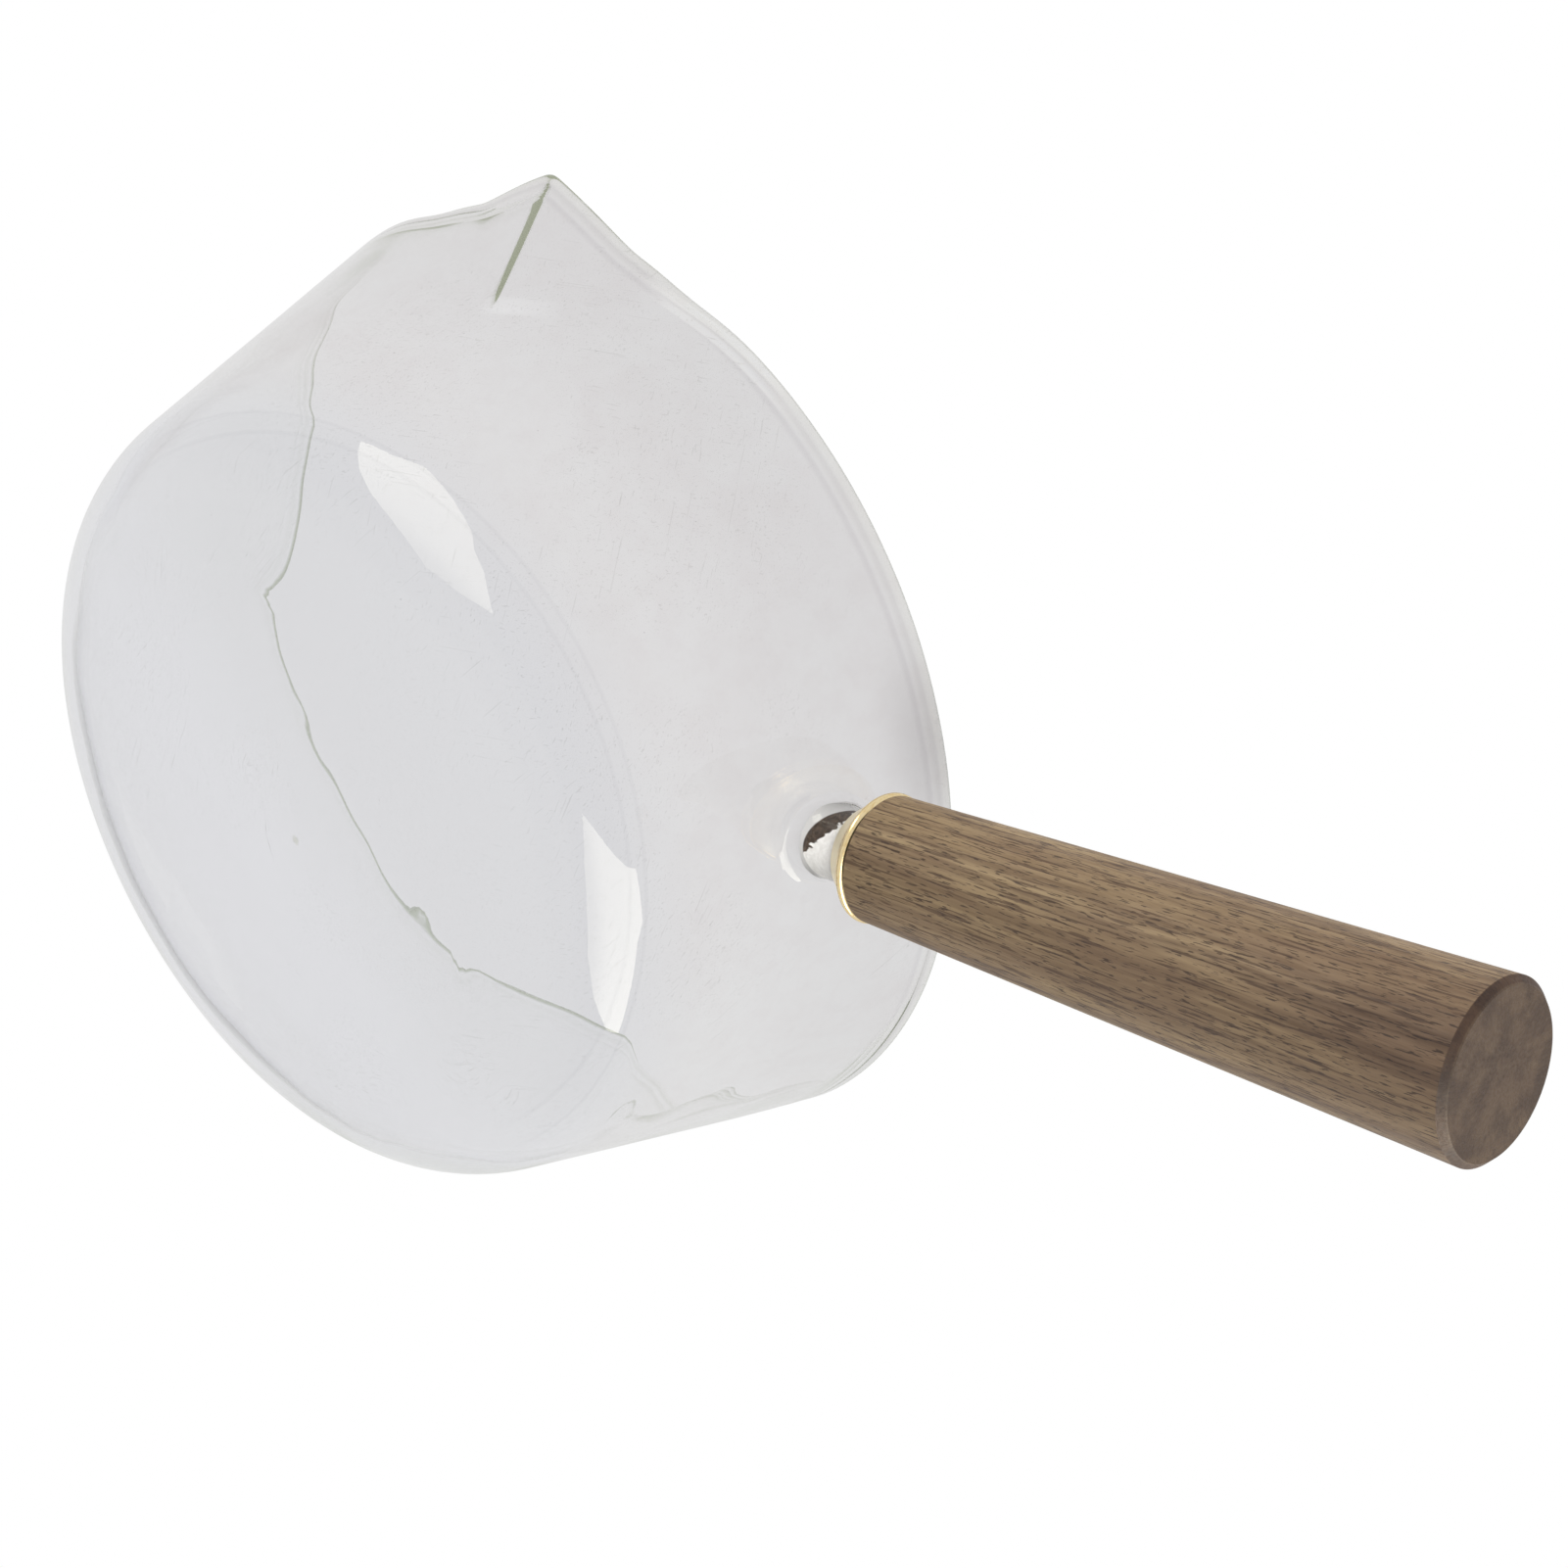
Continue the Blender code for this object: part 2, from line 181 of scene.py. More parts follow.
# Handle sizes that follow, as distances along the handle's axis and radii about it
FILLET_END = wall_along(math.pi / 2, NECK_RADIUS) + NECK_FILLET
FERRULE_START = FILLET_END + NECK_SHOWN
FERRULE_END = FERRULE_START + FERRULE_LENGTH
GRIP_START = FERRULE_END + FIT_GAP
GRIP_END = GRIP_START + GRIP_LENGTH
NECK_END = GRIP_START + NECK_IN_GRIP
SOCKET_END = NECK_END + FIT_GAP
DOWEL_END = NECK_END + DOWEL_PAST_NECK
NECK_BORE = NECK_RADIUS - NECK_WALL
NECK_CEMENT_RADIUS = NECK_BORE - FIT_GAP
DOWEL_RADIUS = NECK_CEMENT_RADIUS - NECK_CEMENT - FIT_GAP
DOWEL_BORE = DOWEL_RADIUS + FIT_GAP
NECK_CLEARANCE_RADIUS = NECK_RADIUS + FIT_GAP
SOCKET_RADIUS = NECK_CLEARANCE_RADIUS + SOCKET_CEMENT + FIT_GAP
GRIP_FRONT_RADIUS = SOCKET_RADIUS + GRIP_SOCKET_WALL
FERRULE_RADIUS = GRIP_FRONT_RADIUS + FERRULE_STEP

# Camera, from the photograph's view
CAMERA_PLACE = (0.4194876, -0.2493281, -0.2793663)
CAMERA_TARGET = (0.0919280, -0.0246482, 0.0243172)
CAMERA_ROLL = 61.075
CAMERA_LENS = 82.712
SENSOR_WIDTH = 36.0


# Colours

def colour(red, green, blue):
    """A colour given as it looks on a screen, from 0 to 255, as a shader's colour."""
    shares = [value / 255 for value in (red, green, blue)]
    return tuple(s / 12.92 if s <= 0.04045 else ((s + 0.055) / 1.055) ** 2.4 for s in shares) + (1.0,)


def grey(level):
    return (level, level, level, 1.0)


# Lamps and the glowing panels that the glass mirrors. A direction is an azimuth from +X and an elevation, in
# degrees. Panels are outlined in millimetres across and up from their middles.
FROM_SIDE = (-86.0, -8.0)
FROM_HANDLE = (31.0, -8.0)
FROM_NECK = (-34.0, -37.0)
FROM_TOP = (0.0, 89.0)
PANEL_SIDE = ((-38, 25), (5, 24), (56, 18), (83, 4), (109, -27), (80, -47), (50, -56), (-3, -26), (-19, -8))
PANEL_HANDLE = (
    (-167, -58), (-87, 46), (-26, 50), (111, 31), (100, -3), (56, -53), (8, -78), (-45, -80), (-100, -77),
)
PANEL_TONE = (1.0, 0.98, 0.87, 1.0)
PANEL_LOW_SHARE = 0.55
PANEL_LAST_PASS = 2.5
KEY_DISTANCE = 0.9
KEY_SIZE = (0.9, 0.5)
TOP_KEY_SIZE = (1.2, 1.2)

# World and floor
WORLD_DIFFUSE = 0.60
WORLD_GLOSSY = 0.80
WORLD_THROUGH_GLASS = colour(233, 233, 234)
FLOOR_LEVEL = 0.86
FLOOR_RADIUS = 1.2
FLOOR_FADE = (0.5, 1.1)
FLOOR_SEGMENTS = 96

# Clear glass, in metres. Light that is caught in it for a few reflections takes on the glass's own colour,
# with painted shade that makes it darker by the spouts and paler at the back.
GLASS_IOR = 1.47
GLASS_SHADOW = 0.97
GLASS_BODY_TONE = (0.80, 0.84, 0.77, 1.0)
GLASS_DENSITY = 10.0
CAUGHT_AFTER = 2.5
CAUGHT_TONE = (0.66, 0.68, 0.61, 1.0)
# Painted shade: caught light darker by the spouts
CAUGHT_SPOUT_SHADE_TONE = (0.46, 0.49, 0.37, 1.0)
CAUGHT_BY_SPOUT = (0.066, 0.072)
CAUGHT_BACK_TONE = (0.90, 0.90, 0.885, 1.0)
CAUGHT_BACK = (-0.010, -0.030)

# Marks, painted shade and painted highlights in the glass, in millimetres. A fade runs from where a mark is
# absent to where it is full, and may end with its least and its greatest share. A noise is a scale, a detail
# and a roughness.
AWAY = (-0.82, 0.57, 0.0)
NEAR_FADE = (5.0, -25.0)
CLEAR_TONE = (1.0, 1.0, 1.0, 1.0)

# Painted shade: near base darker than far base, -Y wall a little darker, near wall darker from its middle up
BASE_FADE = (-35.0, 10.0)
NEAR_BASE_SHADE_TONE = (0.875, 0.875, 0.89, 1.0)
FAR_BASE_SHADE_TONE = (0.92, 0.92, 0.945, 1.0)
WALL_FADE = (12.0, 30.0)
HANDLE_FADE = (-25.0, 25.0)
HANDLE_LEFT_SHADE_TONE = (0.897, 0.885, 0.884, 1.0)
HANDLE_RIGHT_SHADE_TONE = (0.910, 0.905, 0.902, 1.0)
UPPER_FADE = (30.0, 60.0)
UPPER_SHADE_TONE = (0.95, 0.95, 0.95, 1.0)
CLOUD_NOISE = (0.05, 4.0, 0.6)
CLOUD_FADE = (0.40, 0.66, 0.0, 0.80)
MOTTLE_NOISE = (0.24, 3.0, 0.6)
MOTTLE_FADE = (0.44, 0.62, 0.0, 0.75)
SMUDGE_TONE = (0.975, 0.965, 0.965, 1.0)
FAR_WALL_HEIGHT_FADE = (5.0, 9.0)
FAR_WALL_AWAY_FADE = (16.0, 26.0)

# Painted shade: a darker band round the near corner and a darker line along its top
CORNER_LEAN = 0.231
CORNER_FOOT_FADE = (-4.4, -2.8)
CORNER_TOP = 5.7
CORNER_TOP_FADE = (5.9, 5.5)
CORNER_SHADE_TONE = (0.97, 0.97, 0.975, 1.0)
CORNER_LINE_FADE = (0.45, 0.1)
CORNER_LINE_SHADE_TONE = (0.93, 0.93, 0.935, 1.0)
ABOVE_BASE_FADE = (6.5, 9.5)

# Painted shade: a darker patch at the rim beside the handle
SHADE_BESIDE_HANDLE_CENTRE = (78.5, -9.0, 67.5)
SHADE_BESIDE_HANDLE_SHRINK = (0.05, 0.045, 0.10)
SHADE_BESIDE_HANDLE_TONE = (0.78, 0.77, 0.77, 1.0)

# Painted highlight: a light streak from the foot of the near spout's ridge
CREASE_START = (13.5, -73.0, 48.4)
CREASE_WAY = (0.859, 0.087, 0.505)
CREASE_SIDE_FADE = (2.6, 1.0)
CREASE_START_FADE = (-2.5, 0.5)
CREASE_END_FADE = (13.0, 1.0)

# Painted highlights (a light band and a light strip) and painted shade along the near rim
RIM_BAND_FADE = (67.6, 68.4)
RIM_BAND_HIGHLIGHT_TONE = (1.06, 1.065, 1.04, 1.0)
RIM_SHADE_FADES = ((66.2, 67.2), (67.9, 67.3))
RIM_SHADE_TONE = (0.86, 0.85, 0.86, 1.0)
STRIP_HEIGHT = 65.3
STRIP_RISE = 0.06
STRIP_FADE = (0.9, 0.4)
STRIP_END_FADES = ((26.0, 33.0), (58.0, 48.0))
STRIP_HIGHLIGHT_TONE = (1.20, 1.20, 1.18, 1.0)
# A painted dark olive line along the far rim: olive like the glass, its darkness painted shade
RIM_LINE_FADE = (69.1, 69.7)
RIM_LINE_AWAY_FADE = (-30.0, 20.0)
FAR_RIM_LINE_SHADE_TONE = (0.38, 0.43, 0.30, 1.0)

SCRATCH_NOISE = (0.035, 2.0, 0.5)
SCRATCH_CLUSTER_FADE = (0.40, 0.56)
SCRATCH_HEIGHT_FADE = (3.0, 15.0, 0.35, 1.0)
SCRATCH_TURNS = ((20.0, 35.0, 0.0), (70.0, -30.0, 60.0), (-40.0, 80.0, 20.0), (10.0, -60.0, 130.0))
SCRATCH_SCALE = (0.06, 3.0, 3.0)
SCRATCH_FADE = (0.70, 0.76, 0.0, 0.5)
SCRATCH_TONE = (0.62, 0.62, 0.60, 1.0)
DUST_SCALE = 0.14
DUST_FADE = (0.022, 0.0088)
DUST_TONE = (0.6, 0.6, 0.6, 1.0)
SPECK_PLACE = (7.6, -1.5, 0.0)
SPECK_ROUGHNESS = 0.8
SPECK_FADE = (1.5, 0.7)
SPECK_TONE = (0.74, 0.74, 0.64, 1.0)

# Wood, in millimetres in the handle's frame. A grain has its scales across, upwards and along the handle.
WOOD_DARK = colour(96, 74, 52)
WOOD_PLAIN = colour(152, 129, 96)
WOOD_LIGHT = colour(188, 164, 122)
PATCH_COLOUR = colour(122, 98, 76)
STREAK_COLOUR = colour(80, 59, 44)
PORE_COLOUR = colour(58, 42, 32)
END_DARK = colour(62, 45, 35)
END_LIGHT = colour(92, 73, 57)
DOWEL_DARK = colour(58, 48, 42)
DOWEL_LIGHT = colour(104, 88, 76)
PITH = (-38.0, 16.0)
RING_SCALE = 0.42
RING_DRIFT = 9.0
DRIFT_SCALE = (0.05, 0.05, 0.012)
FIBRE_SCALE = (2.2, 2.2, 0.06)
STREAK_SCALE = (2.3, 2.3, 0.06)
PORE_SCALE = (4.4, 4.4, 0.42)
PATCH_SCALE = (0.12, 0.12, 0.03)
RING_FADE = (0.36, 0.62)
RING_FAINTNESS = 0.45
FIBRE_FADE = (0.35, 0.75, 0.0, 0.35)
PATCH_FADE = (0.42, 0.62, 0.0, 0.38)
STREAK_FADE = (0.55, 0.63, 0.0, 0.75)
PORE_FADE = (0.60, 0.66)
PORE_DEPTH = 0.8
FIBRE_HEIGHT = 0.3
WOOD_ROUGHNESS_FADE = (0.3, 0.7, 0.5, 0.68)
WOOD_START_TONE = (1.10, 1.07, 1.09, 1.0)
WOOD_END_TONE = (0.90, 0.85, 0.90, 1.0)
# Painted light on the grip's sunny side and painted shade on its belly near the end
SUNNY_SIDE = (-0.804, 0.595, 0.0)
SUNNY_FADE = (1.0, 5.5)
SUNNY_PAINTED_LIGHT_TONE = (1.15, 1.15, 1.13, 1.0)
BELLY_SIDE = (-0.595, -0.804, 0.0)
BELLY_FADE = (11.5, 12.8)
BELLY_LENGTH_FADE = (0.5, 0.95)
BELLY_PAINTED_SHADE_TONE = (0.62, 0.57, 0.60, 1.0)
END_NOISE = (0.17, 3.0, 0.6)
END_NOISE_FADE = (0.40, 0.60)
END_WOOD_SHARE = 0.15
END_EDGE = 0.1
# Painted shade on the grip's end chamfer
CHAMFER_SHADE_TONE = (0.66, 0.54, 0.48, 1.0)
DOWEL_SCALE = (3.0, 3.0, 0.5)
DOWEL_FADE = (0.35, 0.65)

# Brass, in millimetres in the handle's frame
BRASS_CLEAN = colour(246, 226, 180)
BRASS_WORN = colour(236, 208, 152)
# Painted reflection: the cone paler, as if mirroring bright surroundings
CONE_REFLECTION_COLOUR = colour(255, 244, 216)
WEAR_SCALE = (1.2, 1.2, 4.0)
WEAR_FADE = (0.35, 0.70)
BRASS_ROUGHNESS_FADE = (0.3, 0.7, 0.12, 0.24)
CONE_EDGE = 0.2
CONE_FULL = 1.6
CONE_ROUGHNESS = 0.3

# Cement, in millimetres in the handle's frame. Bare wood shows past the torn side and short of the clear one.
SOCKET_CEMENT_DARK = colour(214, 212, 208)
SOCKET_CEMENT_LIGHT = colour(244, 243, 240)
NECK_CEMENT_DARK = colour(236, 234, 230)
NECK_CEMENT_LIGHT = colour(252, 251, 248)
CLEAR_NECK_COLOUR = colour(206, 205, 204)
BARE_WOOD_DARK = colour(50, 37, 27)
BARE_WOOD_LIGHT = colour(92, 75, 60)
CRUMB_NOISE = (1.6, 4.0, 0.6)
CRUMB_FADE = (0.35, 0.70)
BARE_WOOD_FADE = (0.40, 0.70)
TORN_SIDE = (-0.80, -0.042, -0.598)
TORN_FADE = (0.46, 0.66)
TORN_DEPTH = 2.6
TEAR_SCALE = (1.3, 1.3, 0.5)
NOISE_MIDDLE = 0.5
CLEAR_SIDE = (0.07, 0.601, -0.797)
CLEAR_FADE = (-2.05, -1.85)


# Shader nodes

class Shade:
    """A material, or the world, and short calls that add nodes to it."""

    def __init__(self, owner):
        owner.use_nodes = True
        self.owner = owner
        self.tree = owner.node_tree
        self.tree.nodes.clear()

    def node(self, kind, settings=None, **inputs):
        made = self.tree.nodes.new(kind)
        for name, value in (settings or {}).items():
            setattr(made, name, value)
        for name, value in inputs.items():
            self.feed(made, name.replace("_", " "), value)
        return made

    def feed(self, made, name, value):
        socket = made.inputs[int(name)] if name.isdigit() else made.inputs[name]
        if isinstance(value, bpy.types.NodeSocket):
            self.tree.links.new(value, socket)
        else:
            socket.default_value = value

    def feed_all(self, made, values):
        """Feeds the values to the first inputs in their order."""
        for i, value in enumerate(values):
            self.feed(made, str(i), value)
        return made

    def math(self, operation, first, second=0.0):
        made = self.node("ShaderNodeMath", {"operation": operation})
        return self.feed_all(made, (first, second)).outputs[0]

    def product(self, first, *others):
        for other in others:
            first = self.math("MULTIPLY", first, other)
        return first

    def vector(self, operation, first, second=(0.0, 0.0, 0.0)):
        """Result of a vector operation that gives a vector."""
        made = self.node("ShaderNodeVectorMath", {"operation": operation})
        return self.feed_all(made, (first, second)).outputs["Vector"]

    def measure(self, operation, first, second=(0.0, 0.0, 0.0)):
        """Result of a vector operation that gives a number."""
        made = self.node("ShaderNodeVectorMath", {"operation": operation})
        return self.feed_all(made, (first, second)).outputs["Value"]

    def mix(self, share, first, second, blend="MIX"):
        """Mix of two colours, which are the node's inputs 6 and 7 and its output 2."""
        made = self.node("ShaderNodeMix", {"data_type": "RGBA", "blend_type": blend})
        for name, value in (("0", share), ("6", first), ("7", second)):
            self.feed(made, name, value)
        return made.outputs[2]

    def tint(self, share, tone, by):
        return self.mix(share, tone, by, "MULTIPLY")

    def ramp(self, value, low, high, to_low=0.0, to_high=1.0):
        made = self.node("ShaderNodeMapRange", {"interpolation_type": "SMOOTHSTEP"})
        return self.feed_all(made, (value, low, high, to_low, to_high)).outputs[0]

    def noise(self, place, scale, detail=2.0, rough=0.5):
        made = self.node("ShaderNodeTexNoise", Vector=place, Scale=scale, Detail=detail, Roughness=rough)
        return made.outputs[0]

    def grain(self, place, scale, detail=2.0, rough=0.5):
        """Noise that is stretched by a scale of its own in each direction."""
        return self.noise(self.vector("MULTIPLY", place, scale), 1.0, detail, rough)

    def metres(self):
        return self.node("ShaderNodeTexCoord").outputs["Object"]

    def millimetres(self):
        return self.vector("MULTIPLY", self.metres(), (MILLIMETRES, MILLIMETRES, MILLIMETRES))

    def apart(self, place):
        return self.node("ShaderNodeSeparateXYZ", Vector=place).outputs

    def mix_shaders(self, share, first, second):
        made = self.node("ShaderNodeMixShader", Fac=share)
        self.feed(made, "1", first.outputs[0])
        self.feed(made, "2", second.outputs[0])
        return made

    def surface(self, shader, volume=None):
        is_world = isinstance(self.owner, bpy.types.World)
        kind = "ShaderNodeOutputWorld" if is_world else "ShaderNodeOutputMaterial"
        out = self.node(kind, Surface=shader.outputs[0])
        if volume is not None:
            self.feed(out, "Volume", volume)
        return self.owner


# Marks, painted shade and painted highlights in the glass

class GlassPlace:
    """Where a point of the glass lies: its place, its parts, how far away it is and whether it is near."""

    def __init__(self, shade):
        self.place = shade.millimetres()
        self.along, self.across, self.height = shade.apart(self.place)
        self.away = shade.measure("DOT_PRODUCT", self.place, AWAY)
        self.near = shade.ramp(self.away, *NEAR_FADE)


def base_and_wall(shade, at):
    """Tones of the base and the wall with painted shade, smudged by hands. The far wall above its corner
    stays clear.
    """
    # Painted shade: the base darker on its near side than on its far side
    base = shade.mix(shade.ramp(at.away, *BASE_FADE), NEAR_BASE_SHADE_TONE, FAR_BASE_SHADE_TONE)
    # Painted shade: the wall a little darker on its -Y side than on its +Y side
    wall = shade.mix(shade.ramp(at.across, *HANDLE_FADE), HANDLE_LEFT_SHADE_TONE, HANDLE_RIGHT_SHADE_TONE)
    # Painted shade: the near wall darker from its middle upwards
    wall = shade.tint(shade.product(shade.ramp(at.height, *UPPER_FADE), at.near), wall, UPPER_SHADE_TONE)
    wall = shade.tint(shade.ramp(shade.noise(at.place, *CLOUD_NOISE), *CLOUD_FADE), wall, SMUDGE_TONE)
    wall = shade.tint(shade.ramp(shade.noise(at.place, *MOTTLE_NOISE), *MOTTLE_FADE), wall, SMUDGE_TONE)
    tone = shade.mix(shade.ramp(at.height, *WALL_FADE), base, wall)
    above_base = shade.ramp(at.height, *FAR_WALL_HEIGHT_FADE)
    far_wall = shade.product(above_base, shade.ramp(at.away, *FAR_WALL_AWAY_FADE))
    return shade.mix(far_wall, tone, CLEAR_TONE)


def corner_band(shade, at, tone):
    """Painted shade: a soft band round the near corner between base and wall, and a thin line along its top.
    """
    leaning = shade.math("ADD", at.height, shade.product(at.away, CORNER_LEAN))
    above_base = shade.product(at.near, shade.ramp(at.height, *ABOVE_BASE_FADE))
    band = shade.product(shade.ramp(leaning, *CORNER_FOOT_FADE), shade.ramp(leaning, *CORNER_TOP_FADE))
    # Painted shade in the corner band, then a darker painted line along its top
    tone = shade.tint(shade.product(band, above_base), tone, CORNER_SHADE_TONE)
    off_line = shade.math("ABSOLUTE", shade.math("SUBTRACT", leaning, CORNER_TOP))
    line = shade.product(shade.ramp(off_line, *CORNER_LINE_FADE), above_base)
    return shade.tint(line, tone, CORNER_LINE_SHADE_TONE)


def haze(shade, at, tone):
    """Painted shade: a darker patch at the rim beside the handle."""
    offset = shade.vector("SUBTRACT", at.place, SHADE_BESIDE_HANDLE_CENTRE)
    reach = shade.measure("LENGTH", shade.vector("MULTIPLY", offset, SHADE_BESIDE_HANDLE_SHRINK))
    return shade.tint(shade.ramp(reach, 1.0, 0.0), tone, SHADE_BESIDE_HANDLE_TONE)


def crease(shade, at, tone):
    """Painted highlight: a light streak from the foot of the near spout's ridge towards the handle and the
    rim.
    """
    offset = shade.vector("SUBTRACT", at.place, CREASE_START)
    along = shade.measure("DOT_PRODUCT", offset, CREASE_WAY)
    aside = shade.measure("LENGTH", shade.vector("CROSS_PRODUCT", offset, CREASE_WAY))
    # Painted highlight along the fold at the spout's foot
    share = shade.product(
        shade.ramp(aside, *CREASE_SIDE_FADE),
        shade.ramp(along, *CREASE_START_FADE),
        shade.ramp(along, *CREASE_END_FADE),
    )
    return shade.mix(share, tone, CLEAR_TONE)


def rim_bands(shade, at, tone):
    """Painted highlight band and strip, painted shade along the near rim, and a painted olive line along the
    far one.
    """
    # Painted highlight band at the top of the near rim
    band = shade.product(shade.ramp(at.height, *RIM_BAND_FADE), at.near)
    tone = shade.tint(band, tone, RIM_BAND_HIGHLIGHT_TONE)
    # Painted highlight strip below the near rim, then painted shade under the rim
    off_strip = shade.math("SUBTRACT", at.height, shade.product(at.along, STRIP_RISE))
    off_strip = shade.math("ABSOLUTE", shade.math("SUBTRACT", off_strip, STRIP_HEIGHT))
    ends = [shade.ramp(at.along, *fade) for fade in STRIP_END_FADES]
    strip = shade.product(shade.ramp(off_strip, *STRIP_FADE), at.near, *ends)
    tone = shade.tint(strip, tone, STRIP_HIGHLIGHT_TONE)
    edges = [shade.ramp(at.height, *fade) for fade in RIM_SHADE_FADES]
    shadow = shade.product(*edges, shade.math("SUBTRACT", 1.0, strip), at.near)
    tone = shade.tint(shadow, tone, RIM_SHADE_TONE)
    # Painted dark olive line along the far rim
    line = shade.product(shade.ramp(at.height, *RIM_LINE_FADE), shade.ramp(at.away, *RIM_LINE_AWAY_FADE))
    return shade.tint(line, tone, FAR_RIM_LINE_SHADE_TONE)


def scratches(shade, at, tone):
    """Clusters of hair scratches in four directions, fainter on the base."""
    clusters = shade.ramp(shade.noise(at.place, *SCRATCH_NOISE), *SCRATCH_CLUSTER_FADE)
    clusters = shade.product(clusters, shade.ramp(at.height, *SCRATCH_HEIGHT_FADE))
    for turns in SCRATCH_TURNS:
        rotation = tuple(math.radians(turn) for turn in turns)
        turned = shade.node("ShaderNodeMapping", Vector=at.place, Rotation=rotation).outputs[0]
        line = shade.ramp(shade.grain(turned, SCRATCH_SCALE, detail=1.0), *SCRATCH_FADE)
        tone = shade.tint(shade.product(line, clusters), tone, SCRATCH_TONE)
    return tone


def dust(shade, at, tone):
    """Sparse dust, and one speck under the base."""
    gap = shade.node("ShaderNodeTexVoronoi", Vector=at.place, Scale=DUST_SCALE).outputs["Distance"]
    tone = shade.tint(shade.ramp(gap, *DUST_FADE), tone, DUST_TONE)
    from_speck = shade.measure("LENGTH", shade.vector("SUBTRACT", at.place, SPECK_PLACE))
    rough_edge = shade.product(shade.noise(at.place, 1.0), SPECK_ROUGHNESS)
    from_speck = shade.math("ADD", from_speck, rough_edge)
    return shade.tint(shade.ramp(from_speck, *SPECK_FADE), tone, SPECK_TONE)


# Materials

def glass_colour(shade):
    """Colour of the glass with all its marks, painted shade and painted highlights."""
    at = GlassPlace(shade)
    tone = base_and_wall(shade, at)
    for mark in (corner_band, haze, crease, rim_bands, scratches, dust):
        tone = mark(shade, at, tone)
    return tone


def caught_light(shade):
    """What light caught in the glass shows: olive, with painted shade deepest at the spouts and faint at the
    back.
    """
    along, across, _ = shade.apart(shade.metres())
    by_spout = shade.ramp(shade.math("ABSOLUTE", across), *CAUGHT_BY_SPOUT)
    tone = shade.mix(shade.ramp(along, *CAUGHT_BACK), CAUGHT_TONE, CAUGHT_BACK_TONE)
    # Painted shade: darker by the spouts
    tone = shade.mix(by_spout, tone, CAUGHT_SPOUT_SHADE_TONE)
    return shade.node("ShaderNodeBsdfTransparent", Color=tone)


def clear_glass():
    """Clear glass that lamps shine through."""
    shade = Shade(bpy.data.materials.new("clear_glass"))
    tone = glass_colour(shade)
    glass = shade.node(
        "ShaderNodeBsdfPrincipled", Base_Color=tone, Roughness=0.0, IOR=GLASS_IOR, Transmission_Weight=1.0
    )
    path = shade.node("ShaderNodeLightPath").outputs
    is_caught = shade.math("GREATER_THAN", path["Glossy Depth"], CAUGHT_AFTER)
    body = shade.mix_shaders(is_caught, glass, caught_light(shade))
    clear = shade.node("ShaderNodeBsdfTransparent", Color=grey(GLASS_SHADOW))
    inside = shade.node("ShaderNodeVolumeAbsorption", Color=GLASS_BODY_TONE, Density=GLASS_DENSITY)
    return shade.surface(shade.mix_shaders(path["Is Shadow Ray"], body, clear), inside.outputs[0])


def year_rings(shade, place):
    """Noise in rings round the tree's pith, which lies beside the handle."""
    across, upward, _ = shade.apart(place)
    across = shade.math("SUBTRACT", across, PITH[0])
    upward = shade.math("SUBTRACT", upward, PITH[1])
    squares = shade.math("ADD", shade.math("POWER", across, 2.0), shade.math("POWER", upward, 2.0))
    drift = shade.product(shade.grain(place, DRIFT_SCALE, detail=3.0), RING_DRIFT)
    ring = shade.math("ADD", shade.math("SQRT", squares), drift)
    ring_place = shade.node("ShaderNodeCombineXYZ", X=shade.product(ring, RING_SCALE))
    return shade.noise(ring_place.outputs[0], 1.0, detail=4.0, rough=0.6)


def walnut_sides(shade, place, tone):
    """Wood lighter near the pan, with painted light on its sunny side and painted shade on its belly near the
    end.
    """
    lengthwise = shade.ramp(shade.apart(place)[2], MILLIMETRES * GRIP_START, MILLIMETRES * GRIP_END)
    tone = shade.tint(1.0, tone, shade.mix(lengthwise, WOOD_START_TONE, WOOD_END_TONE))
    # Painted light on the sunny side
    sunny = shade.measure("DOT_PRODUCT", place, SUNNY_SIDE)
    tone = shade.tint(shade.ramp(sunny, *SUNNY_FADE), tone, SUNNY_PAINTED_LIGHT_TONE)
    # Painted shade on the belly near the end
    belly = shade.measure("DOT_PRODUCT", place, BELLY_SIDE)
    belly = shade.product(shade.ramp(belly, *BELLY_FADE), shade.ramp(lengthwise, *BELLY_LENGTH_FADE))
    return shade.tint(belly, tone, BELLY_PAINTED_SHADE_TONE)


def walnut_end(shade, place, tone):
    """End grain on the flat end and on the chamfer, which painted shade makes darker."""
    along = shade.apart(place)[2]
    end = MILLIMETRES * GRIP_END
    chamfer = MILLIMETRES * (GRIP_END - GRIP_CHAMFER)
    is_end = shade.ramp(along, chamfer - END_EDGE, chamfer + END_EDGE)
    grain = shade.ramp(shade.noise(place, *END_NOISE), *END_NOISE_FADE)
    end_tone = shade.mix(grain, END_DARK, END_LIGHT)
    tone = shade.mix(is_end, tone, shade.mix(END_WOOD_SHARE, end_tone, tone))
    # Painted shade on the chamfer
    is_chamfer = shade.product(is_end, shade.ramp(along, end - END_EDGE, end - 3 * END_EDGE))
    return shade.tint(is_chamfer, tone, CHAMFER_SHADE_TONE)


